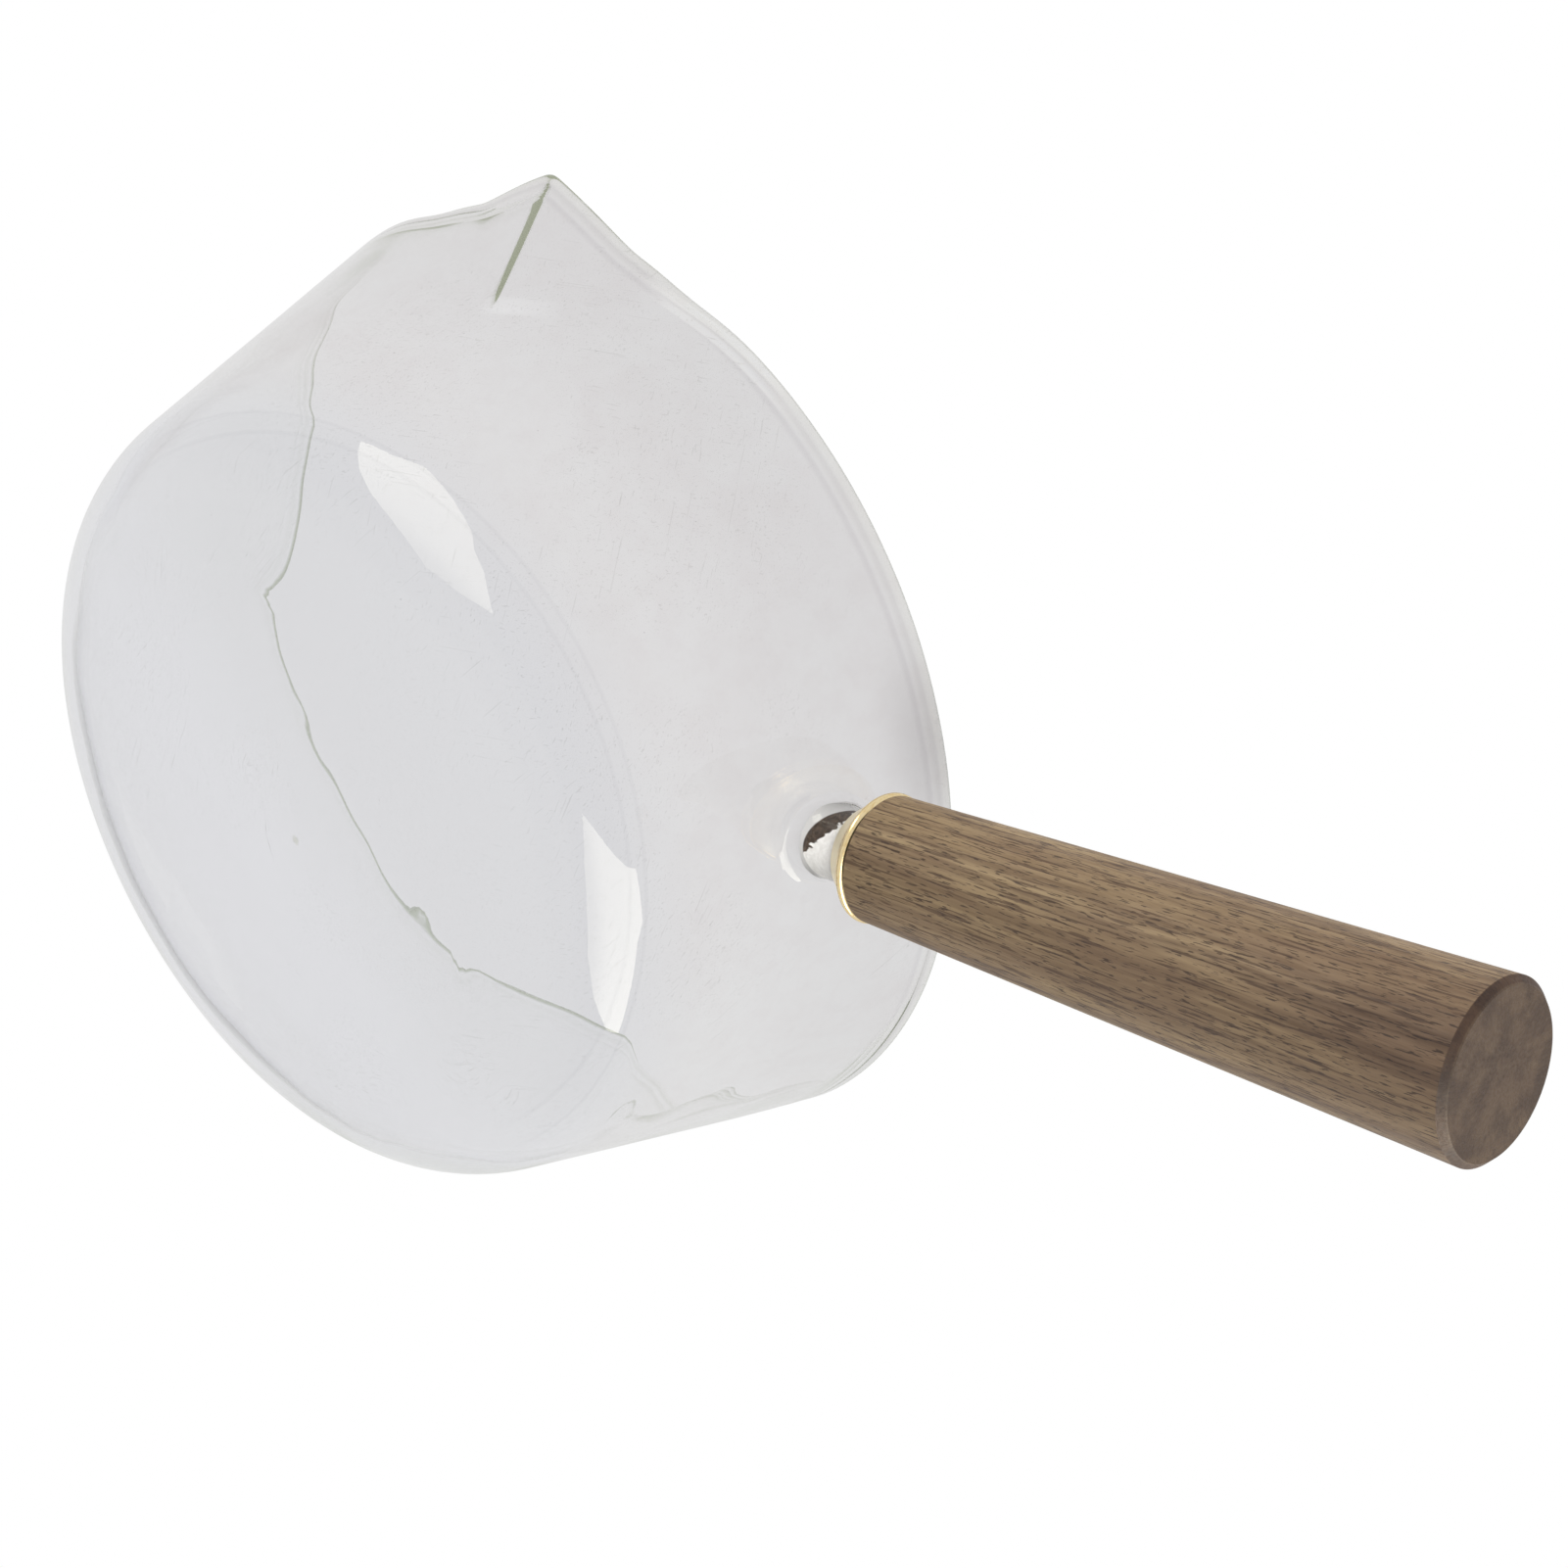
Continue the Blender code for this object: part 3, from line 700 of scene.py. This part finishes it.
def walnut():
    """Walnut with its grain along the handle."""
    shade = Shade(bpy.data.materials.new("walnut"))
    place = shade.millimetres()
    fibre = shade.grain(place, FIBRE_SCALE, detail=3.0, rough=0.6)
    patches = shade.grain(place, PATCH_SCALE)
    streaks = shade.grain(place, STREAK_SCALE)
    is_pore = shade.ramp(shade.grain(place, PORE_SCALE, detail=1.0), *PORE_FADE)
    tone = shade.mix(shade.ramp(year_rings(shade, place), *RING_FADE), WOOD_DARK, WOOD_LIGHT)
    tone = shade.mix(RING_FAINTNESS, tone, WOOD_PLAIN)
    tone = shade.mix(shade.ramp(fibre, *FIBRE_FADE), tone, WOOD_DARK)
    tone = shade.mix(shade.ramp(patches, *PATCH_FADE), tone, PATCH_COLOUR)
    tone = shade.mix(shade.ramp(streaks, *STREAK_FADE), tone, STREAK_COLOUR)
    tone = shade.mix(shade.product(is_pore, PORE_DEPTH), tone, PORE_COLOUR)
    tone = walnut_end(shade, place, walnut_sides(shade, place, tone))
    height = shade.math("SUBTRACT", shade.product(fibre, FIBRE_HEIGHT), is_pore)
    bump = shade.node("ShaderNodeBump", Strength=0.35, Distance=0.0001, Height=height)
    rough = shade.ramp(fibre, *WOOD_ROUGHNESS_FADE)
    return shade.surface(
        shade.node("ShaderNodeBsdfPrincipled", Base_Color=tone, Roughness=rough, Normal=bump.outputs[0])
    )


def dowel_wood():
    shade = Shade(bpy.data.materials.new("dowel_wood"))
    fibre = shade.grain(shade.millimetres(), DOWEL_SCALE, detail=4.0, rough=0.65)
    tone = shade.mix(shade.ramp(fibre, *DOWEL_FADE), DOWEL_DARK, DOWEL_LIGHT)
    return shade.surface(shade.node("ShaderNodeBsdfPrincipled", Base_Color=tone, Roughness=0.7))


def brass():
    """Polished brass, duller on the cone than on the flange, with a painted pale reflection on the cone."""
    shade = Shade(bpy.data.materials.new("polished_brass"))
    place = shade.millimetres()
    wear = shade.grain(place, WEAR_SCALE, detail=4.0)
    flange = MILLIMETRES * (FERRULE_END - FERRULE_FLANGE)
    cone = shade.ramp(shade.apart(place)[2], flange - CONE_EDGE, flange - CONE_FULL)
    tone = shade.mix(shade.ramp(wear, *WEAR_FADE), BRASS_CLEAN, BRASS_WORN)
    # Painted reflection: the cone paler than the flange
    tone = shade.mix(cone, tone, CONE_REFLECTION_COLOUR)
    rough = shade.math("ADD", shade.ramp(wear, *BRASS_ROUGHNESS_FADE), shade.product(cone, CONE_ROUGHNESS))
    metal = shade.node("ShaderNodeBsdfPrincipled", Base_Color=tone, Metallic=1.0, Roughness=rough)
    return shade.surface(metal)


def neck_filling():
    """White cement with bare dark wood at its start, on the neck's -Y side, torn along their border."""
    shade = Shade(bpy.data.materials.new("neck_cement"))
    place = shade.millimetres()
    crumb = shade.noise(place, *CRUMB_NOISE)
    tear = shade.math("SUBTRACT", shade.grain(place, TEAR_SCALE, detail=3.0, rough=0.6), NOISE_MIDDLE)
    side = shade.measure("DOT_PRODUCT", place, TORN_SIDE)
    side = shade.math("ADD", side, shade.product(tear, TORN_DEPTH))
    front = shade.measure("DOT_PRODUCT", place, CLEAR_SIDE)
    white = shade.mix(shade.ramp(crumb, *CRUMB_FADE), NECK_CEMENT_DARK, NECK_CEMENT_LIGHT)
    wood = shade.mix(shade.ramp(crumb, *BARE_WOOD_FADE), BARE_WOOD_DARK, BARE_WOOD_LIGHT)
    tone = shade.mix(shade.ramp(side, *TORN_FADE), white, wood)
    tone = shade.mix(shade.ramp(front, *CLEAR_FADE), tone, CLEAR_NECK_COLOUR)
    return shade.surface(shade.node("ShaderNodeBsdfPrincipled", Base_Color=tone, Roughness=0.6))


def socket_cement():
    shade = Shade(bpy.data.materials.new("socket_cement"))
    crumb = shade.noise(shade.millimetres(), *CRUMB_NOISE)
    tone = shade.mix(shade.ramp(crumb, *CRUMB_FADE), SOCKET_CEMENT_DARK, SOCKET_CEMENT_LIGHT)
    bump = shade.node("ShaderNodeBump", Strength=0.3, Distance=0.0002, Height=crumb)
    return shade.surface(
        shade.node("ShaderNodeBsdfPrincipled", Base_Color=tone, Roughness=0.6, Normal=bump.outputs[0])
    )


# Mesh helpers

def add_to_scene(thing):
    bpy.context.scene.collection.objects.link(thing)
    return thing


def mesh_from_bmesh(name, bm):
    mesh = bpy.data.meshes.new(name)
    bm.to_mesh(mesh)
    bm.free()
    return mesh


def join_loops(bm, loops):
    """Faces between each loop of corners and the next."""
    count = len(loops[0])
    for low, high in zip(loops, loops[1:]):
        for j in range(count):
            k = (j + 1) % count
            bm.faces.new((low[j], low[k], high[k], high[j]))


def mesh_from_rings(name, rings, first_pole=None, last_pole=None):
    """Closed skin over a stack of like rings, capped by flat faces or by fans to a pole."""
    bm = bmesh.new()
    loops = [[bm.verts.new(point) for point in ring] for ring in rings]
    join_loops(bm, loops)
    for pole, loop in ((first_pole, list(reversed(loops[0]))), (last_pole, loops[-1])):
        if pole is None:
            bm.faces.new(loop)
            continue
        tip = bm.verts.new(pole)
        for j, corner in enumerate(loop):
            bm.faces.new((corner, loop[(j + 1) % len(loop)], tip))
    return mesh_from_bmesh(name, bm)


def mesh_from_closed_rings(name, rings):
    """Skin of a ring-shaped body, whose last ring joins its first."""
    bm = bmesh.new()
    loops = [[bm.verts.new(point) for point in ring] for ring in rings]
    join_loops(bm, loops + loops[:1])
    return mesh_from_bmesh(name, bm)


def add_piece(name, mesh, material=None):
    piece = add_to_scene(bpy.data.objects.new(name, mesh))
    if material is not None:
        mesh.materials.clear()
        mesh.materials.append(material)
    smooth(mesh)
    return piece


def smooth(mesh):
    mesh.shade_smooth()
    mesh.set_sharp_from_angle(angle=math.radians(SMOOTH_ANGLE))


def turned_mesh(name, profile, steps):
    """The profile of (radius, height) turned about +Z: a solid with two poles, or else a ring-shaped body."""
    poles = [Vector((0.0, 0.0, height)) for radius, height in profile if radius == 0.0]
    turns = [math.tau * i / steps for i in range(steps)]
    rings = [
        [(radius * math.cos(turn), radius * math.sin(turn), height) for turn in turns]
        for radius, height in profile
        if radius > 0.0
    ]
    return mesh_from_rings(name, rings, *poles) if poles else mesh_from_closed_rings(name, rings)


def arc(centre, radius, start, end, steps):
    turns = [start + (end - start) * i / steps for i in range(steps + 1)]
    return [(centre[0] + radius * math.cos(turn), centre[1] + radius * math.sin(turn)) for turn in turns]


def between(first, second, steps):
    """Points from first to second, without first."""
    return [tuple(a + (b - a) * i / steps for a, b in zip(first, second)) for i in range(1, steps + 1)]


# Glass bowl with its spouts

def spout_rise(z):
    """Share of the spouts' depth that lies below height z."""
    return min(max((z - SPOUT_FOOT) / SPOUT_DEPTH, 0.0), 1.0)


def turn_between(first, second):
    return abs((first - second + math.pi) % math.tau - math.pi)


def hump(angle, centre, span):
    """1 at the centre, falling smoothly to 0 at the span to either side."""
    return (1.0 + math.cos(math.pi * min(turn_between(angle, centre) / span, 1.0))) / 2


def rounded(height):
    """The height where it is well above 0, nearly 0 where it is well below, and a soft bend between."""
    return (height + math.hypot(height, SPOUT_SHOULDER_ROUNDING)) / 2


def spout_push(angle, z):
    """How far the spouts pull the wall outwards at this place, with the slight flats beside them."""
    rise = spout_rise(z)
    if rise == 0.0:
        return 0.0
    push = 0.0
    rounding = RIDGE_ROUNDING / RIM_RADIUS
    for centre in SPOUT_CENTRES:
        turn = math.hypot(turn_between(angle, centre), rounding) - rounding
        share = turn / (SPOUT_HALF_ANGLE * rise ** SPOUT_WIDENING)
        flank = rounded(1.0 - share) / rounded(1.0)
        push += SPOUT_REACH * rise * flank ** (SPOUT_SHARPNESS / rise ** SPOUT_SHARPENING)
        past_shoulder = (share - SPOUT_SHOULDER_PLACE) / SPOUT_SHOULDER_SPREAD
        push -= SPOUT_SHOULDER_DIP * rise * math.exp(-past_shoulder ** 2)
    return push


def ridge_turn(angle, z):
    """How far the wall's mesh lines turn below the rim, so that both ridges lean towards the handle."""
    skew = math.radians((RIDGE_SKEW + RIDGE_BACK) * (1.0 - spout_rise(z)) - RIDGE_BACK)
    span = math.radians(RIDGE_SKEW_SPAN)
    return -sum(math.copysign(1.0, centre) * skew * hump(angle, centre, span) for centre in SPOUT_CENTRES)


def inner_point(angle, z):
    """Point of the wall's inside at height z, carried on straight below the corner."""
    turn = angle + ridge_turn(angle, z)
    beside_handle = hump(angle, math.radians(OUT_OF_ROUND_AT), math.radians(OUT_OF_ROUND_SPAN))
    bulge = OUT_OF_ROUND * max(z - CORNER_RADIUS, 0.0) / BODY_HEIGHT * beside_handle
    reach = wall_radius(z) - LEVEL_WALL + spout_push(angle, z) + bulge
    return Vector((reach * math.cos(turn), reach * math.sin(turn), z))


def level_normal(angle, z):
    """Level direction that stands square on the wall's inside and points outwards."""
    along = inner_point(angle + NORMAL_TURN, z) - inner_point(angle - NORMAL_TURN, z)
    return Vector((along.y, -along.x, 0.0)).normalized()


def turns_from_spout(span):
    """Offsets from a spout's ridge, fine near it and coarser away from it, up to span degrees."""
    offsets = [0.0]
    while offsets[-1] < span:
        offsets.append(offsets[-1] + min(FINEST_TURN + TURN_GROWTH * offsets[-1], WIDEST_TURN))
    return [math.radians(offset * span / offsets[-1]) for offset in offsets]


def bowl_angles():
    """Angles of the wall's mesh lines, from 0 round to a full turn."""
    to_handle = turns_from_spout(SPOUT_ANGLE)
    to_back = turns_from_spout(180.0 - SPOUT_ANGLE)
    left, right = SPOUT_CENTRES
    angles = [left - turn for turn in to_handle] + [left + turn for turn in to_back[1:]]
    angles += [right + turn for turn in to_handle[:-1]] + [right - turn for turn in to_back[1:-1]]
    return sorted({round(angle % math.tau, 9) for angle in angles})


def glass_side(depth, corner_radius, lean, dip):
    """Radii and heights of one face of the glass, from its middle out over the corner and up to the rim."""
    top = WALL_TOP[0] - depth * math.cos(LEAN), WALL_TOP[1] + depth * math.sin(LEAN)
    foot = top[0] - (top[1] - depth) * math.tan(lean)
    centre = (foot - corner_radius * math.tan((math.pi / 2 - lean) / 2), depth + corner_radius)
    bend = arc(centre, corner_radius, math.atan(2 * dip / centre[0]) - math.pi / 2, -lean, CORNER_STEPS)
    edge = bend[0]
    shares = [i / BASE_STEPS for i in range(1, BASE_STEPS)]
    flat = [(share * edge[0], edge[1] - dip * (1.0 - share ** 2)) for share in shares]
    return flat + bend + between(bend[-1], top, WALL_STEPS)


def bowl_section(inside_corner, inside_lean):
    """Radius, height and face of the glass, from the base's middle up the outside and down the inside."""
    outside = glass_side(0.0, CORNER_RADIUS, LEAN, 0.0)
    rim = arc(RIM_CENTRE, HALF_WALL, -LEAN, math.pi - LEAN, RIM_STEPS)[1:-1]
    inside = glass_side(GLASS_WALL, inside_corner, inside_lean, FLOOR_DIP)
    faces = (("outside", outside), ("rim", rim), ("inside", reversed(inside)))
    return [(radius, z, face) for face, points in faces for radius, z in points]


def ripple(point, face):
    """How far the hand-finished surface stands off its true place."""
    if face == "inside":
        return RIPPLE_INSIDE * noise.noise(point / RIPPLE_SIZE)
    return RIPPLE_OUTSIDE * noise.noise(point / RIPPLE_SIZE + Vector(RIPPLE_SHIFT))


def floor_wave(point):
    """Fine waves and a few dents in the floor's inside."""
    wave = FLOOR_WAVE * noise.noise(point / FLOOR_WAVE_SIZE)
    for x, y in FLOOR_DENTS:
        away = math.hypot(point.x - x, point.y - y) / FLOOR_DENT_SIZE
        wave -= FLOOR_DENT_DEPTH * math.exp(-away ** 2)
    return wave


def viewer_share(angle):
    """Share of the thicker inside corner, which only the side towards the camera has."""
    turn = math.degrees((angle + math.pi) % math.tau - math.pi)
    shares = []
    for absent, full in (VIEWER_CORNER_FROM, VIEWER_CORNER_TO):
        share = min(max((turn - absent) / (full - absent), 0.0), 1.0)
        shares.append(share * share * (3.0 - 2.0 * share))
    return min(shares)


def bowl_point(angle, radius, z, face):
    """Point of the finished glass, at a place of the section and an angle round the bowl."""
    out = level_normal(angle, z)
    point = inner_point(angle, z) + (radius - wall_radius(z) + LEVEL_WALL) * out
    if face == "inside":
        point -= RIM_BEAD * max(0.0, 1.0 - (BODY_HEIGHT - z) / RIM_BEAD_DEPTH) ** 2 * out
    if z > CORNER_RADIUS:
        point += ripple(point, face) * out
    elif face == "inside":
        point.z += ripple(point, face) + floor_wave(point)
    return point


def bowl_mesh():
    angles = bowl_angles()
    even = bowl_section(CORNER_RADIUS - GLASS_WALL, LEAN)
    thick = bowl_section(VIEWER_CORNER_RADIUS, math.radians(VIEWER_LEAN))
    rings = []
    for (even_radius, even_z, face), (thick_radius, thick_z, _) in zip(even, thick):
        ring = []
        for angle in angles:
            share = viewer_share(angle)
            radius = even_radius + share * (thick_radius - even_radius)
            z = even_z + share * (thick_z - even_z)
            ring.append(bowl_point(angle, radius, z, face))
        rings.append(ring)
    floor_middle = even[-1][1] - FLOOR_DIP / BASE_STEPS ** 2
    return mesh_from_rings("pan_glass", rings, Vector((0.0, 0.0, 0.0)), Vector((0.0, 0.0, floor_middle)))


def neck_mesh():
    """Neck without its bore, rooted in the middle of the wall and filleted to its outside."""
    turns = [math.tau * i / NECK_STEPS for i in range(NECK_STEPS)]
    root_radius = NECK_RADIUS + NECK_FILLET
    rings = [[handle_point(turn, root_radius, wall_along(turn, root_radius) - HALF_WALL) for turn in turns]]
    for i in range(FILLET_STEPS + 1):
        sweep = math.pi / 2 * i / FILLET_STEPS
        radius = root_radius - NECK_FILLET * math.sin(sweep)
        lift = NECK_FILLET * (1 - math.cos(sweep)) - NECK_FILLET_SINK
        rings.append([handle_point(turn, radius, wall_along(turn, radius) + lift) for turn in turns])
    rings.append([handle_point(turn, NECK_RADIUS, NECK_END) for turn in turns])
    return mesh_from_rings("neck_blank", rings)


def bore_mesh():
    past_end = NECK_END + NECK_WALL
    profile = [(0.0, NECK_FLOOR), (NECK_BORE, NECK_FLOOR), (NECK_BORE, past_end), (0.0, past_end)]
    mesh = turned_mesh("neck_bore", profile, NECK_STEPS)
    mesh.transform(HANDLE_FRAME)
    return mesh


def make_glass():
    """The bowl with its neck fused on and bored, as one mesh."""
    pan = add_piece("pan_glass", bowl_mesh(), clear_glass())
    neck = add_piece("neck_blank", neck_mesh())
    bore = add_piece("neck_bore", bore_mesh())
    for operation, cutter in (("UNION", neck), ("DIFFERENCE", bore)):
        modifier = pan.modifiers.new(cutter.name, "BOOLEAN")
        modifier.operation = operation
        modifier.solver = "EXACT"
        modifier.object = cutter
    bpy.context.view_layer.update()
    mesh = bpy.data.meshes.new_from_object(pan.evaluated_get(bpy.context.evaluated_depsgraph_get()))
    pan.modifiers.clear()
    pan.data = mesh
    smooth(mesh)
    for cutter in (neck, bore):
        bpy.data.objects.remove(cutter, do_unlink=True)
    dress(pan, "glass_pan")


# Handle

def dress(piece, node):
    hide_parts(node)
    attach(piece, "root")


def add_turned(name, profile, material):
    piece = add_piece(name, turned_mesh(name, profile, TURNED_STEPS), material)
    piece.matrix_world = HANDLE_FRAME
    return piece


def make_ferrule():
    flange = FERRULE_END - FERRULE_FLANGE
    nose = NECK_CLEARANCE_RADIUS + FERRULE_NOSE_WALL
    edge = FERRULE_FLANGE / 2
    profile = [
        (NECK_CLEARANCE_RADIUS, FERRULE_START),
        (nose, FERRULE_START),
        (FERRULE_RADIUS - edge, flange),
        *arc((FERRULE_RADIUS - edge, flange + edge), edge, -math.pi / 2, math.pi / 2, FLANGE_STEPS)[1:],
        (NECK_CLEARANCE_RADIUS, FERRULE_END),
    ]
    dress(add_turned("brass_ferrule", profile, brass()), "ferrule")


def make_neck_filling():
    """Cement and dowel as they show through the neck, bonded to its bore and lit by a lamp of their own."""
    bonded = NECK_BORE + BOND
    profile = [(0.0, FILLING_START), (bonded, FILLING_START), (bonded, NECK_END), (0.0, NECK_END)]
    filling = add_turned("neck_filling", profile, neck_filling())
    dress(filling, "neck_cement")
    lit = bpy.data.collections.new("lit_by_neck_lamp")
    lit.objects.link(filling)
    lamp = add_key("key_neck", FROM_NECK, KEY_SIZE, strength=6.4)
    lamp.light_linking.receiver_collection = lit


def make_grip():
    taper = (GRIP_END_RADIUS - GRIP_FRONT_RADIUS) / GRIP_LENGTH
    profile = [
        (0.0, DOWEL_END + FIT_GAP),
        (DOWEL_BORE, DOWEL_END + FIT_GAP),
        (DOWEL_BORE, SOCKET_END),
        (SOCKET_RADIUS, SOCKET_END),
        (SOCKET_RADIUS, GRIP_START),
        (GRIP_FRONT_RADIUS - GRIP_FRONT_EDGE, GRIP_START),
        (GRIP_FRONT_RADIUS, GRIP_START + GRIP_FRONT_EDGE),
        (GRIP_END_RADIUS - taper * GRIP_CHAMFER, GRIP_END - GRIP_CHAMFER),
        (GRIP_END_RADIUS - GRIP_CHAMFER, GRIP_END),
        (0.0, GRIP_END),
    ]
    grip = add_turned("walnut_grip", profile, walnut())
    # The glass mirrors no grip in the photograph
    grip.visible_glossy = False
    dress(grip, "handle_grip")


# Room

def floor_paint():
    """Pale and matt from above, fading out to the world, and clear from below and in reflections."""
    shade = Shade(bpy.data.materials.new("floor"))
    pale = shade.node("ShaderNodeBsdfDiffuse", Color=grey(FLOOR_LEVEL))
    clear = shade.node("ShaderNodeBsdfTransparent")
    path = shade.node("ShaderNodeLightPath").outputs
    from_below = shade.node("ShaderNodeNewGeometry").outputs["Backfacing"]
    far = shade.ramp(shade.measure("LENGTH", shade.metres()), *FLOOR_FADE)
    unseen = shade.math("MAXIMUM", path["Is Shadow Ray"], path["Is Reflection Ray"])
    open_share = shade.math("MAXIMUM", shade.math("MAXIMUM", from_below, unseen), far)
    return shade.surface(shade.mix_shaders(open_share, pale, clear))


def make_floor():
    bm = bmesh.new()
    bmesh.ops.create_circle(bm, cap_ends=True, segments=FLOOR_SEGMENTS, radius=FLOOR_RADIUS)
    mesh = mesh_from_bmesh("floor", bm)
    mesh.materials.append(floor_paint())
    floor = add_to_scene(bpy.data.objects.new("floor", mesh))
    floor.location.z = -FIT_GAP


def make_world():
    """White behind the pan, and softer for what the glass and the metal mirror and let through."""
    world = bpy.data.worlds.new("studio")
    bpy.context.scene.world = world
    shade = Shade(world)
    path = shade.node("ShaderNodeLightPath").outputs
    light = shade.mix(path["Is Glossy Ray"], grey(WORLD_DIFFUSE), grey(WORLD_GLOSSY))
    light = shade.mix(path["Is Transmission Ray"], light, WORLD_THROUGH_GLASS)
    light = shade.mix(path["Is Camera Ray"], light, grey(1.0))
    shade.surface(shade.node("ShaderNodeBackground", Color=light))


def aimed(thing, direction, distance):
    """Puts a lamp or panel in a direction from the pan, turned to it."""
    turn, lift = (math.radians(angle) for angle in direction)
    out = Vector((math.cos(turn) * math.cos(lift), math.sin(turn) * math.cos(lift), math.sin(lift)))
    side = Vector((-math.sin(turn), math.cos(turn), 0.0))
    facing = Matrix((side, out.cross(side), out)).transposed().to_4x4()
    thing.matrix_world = Matrix.Translation(Vector((0.0, 0.0, BODY_HEIGHT / 2)) + distance * out) @ facing


def panel_glow(name, outline, strength):
    """Glow that is weaker towards the panel's foot, and none for rays that passed glass three times."""
    shade = Shade(bpy.data.materials.new(name))
    heights = [up / MILLIMETRES for _, up in outline]
    lowest, highest = min(heights), max(heights)
    fade = shade.ramp(shade.apart(shade.metres())[1], lowest, (lowest + highest) / 2, PANEL_LOW_SHARE, 1.0)
    depth = shade.node("ShaderNodeLightPath").outputs["Transmission Depth"]
    power = shade.product(fade, shade.math("LESS_THAN", depth, PANEL_LAST_PASS), strength)
    return shade.surface(shade.node("ShaderNodeEmission", Color=PANEL_TONE, Strength=power))


def add_panel(name, direction, distance, outline, strength):
    """Glowing panel that only reflections see."""
    mesh = bpy.data.meshes.new(name)
    corners = [(across / MILLIMETRES, up / MILLIMETRES, 0.0) for across, up in outline]
    mesh.from_pydata(corners, [], [range(len(corners))])
    mesh.materials.append(panel_glow(name, outline, strength))
    panel = add_to_scene(bpy.data.objects.new(name, mesh))
    aimed(panel, direction, distance)
    panel.visible_camera = False
    panel.visible_diffuse = False
    panel.visible_transmission = False
    panel.visible_volume_scatter = False
    panel.visible_shadow = False


def add_key(name, direction, size, strength):
    """Broad lamp that lights plain surfaces and is not seen in reflections."""
    width, height = size
    lamp = bpy.data.lights.new(name, "AREA")
    lamp.shape = "RECTANGLE"
    lamp.size = width
    lamp.size_y = height
    lamp.energy = strength * width * height * math.pi
    key = add_to_scene(bpy.data.objects.new(name, lamp))
    aimed(key, direction, KEY_DISTANCE)
    key.visible_glossy = False
    key.visible_transmission = False
    return key


def make_lights():
    add_panel("panel_left", FROM_SIDE, distance=0.16, outline=PANEL_SIDE, strength=4.3)
    add_panel("panel_handle", FROM_HANDLE, distance=0.26, outline=PANEL_HANDLE, strength=5.4)
    add_key("key_left", FROM_SIDE, KEY_SIZE, strength=1.4)
    add_key("key_handle", FROM_HANDLE, KEY_SIZE, strength=1.3)
    add_key("key_top", FROM_TOP, TOP_KEY_SIZE, strength=0.8)


def make_camera():
    camera = add_to_scene(bpy.data.objects.new("camera", bpy.data.cameras.new("camera")))
    camera.data.lens = CAMERA_LENS
    camera.data.sensor_width = SENSOR_WIDTH
    camera.location = CAMERA_PLACE
    look = (Vector(CAMERA_TARGET) - Vector(CAMERA_PLACE)).to_track_quat("-Z", "Y")
    camera.rotation_mode = "QUATERNION"
    camera.rotation_quaternion = look @ Quaternion((0.0, 0.0, 1.0), math.radians(CAMERA_ROLL))
    bpy.context.scene.camera = camera


def finish_cad_node(node, material):
    """A better material on a CAD node that stays."""
    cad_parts[node].data.materials.clear()
    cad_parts[node].data.materials.append(material)


make_camera()
make_world()
make_lights()
make_floor()
make_glass()
make_ferrule()
make_grip()
finish_cad_node("neck_dowel", dowel_wood())
make_neck_filling()
finish_cad_node("socket_cement", socket_cement())
bpy.context.scene.view_settings.view_transform = "Standard"
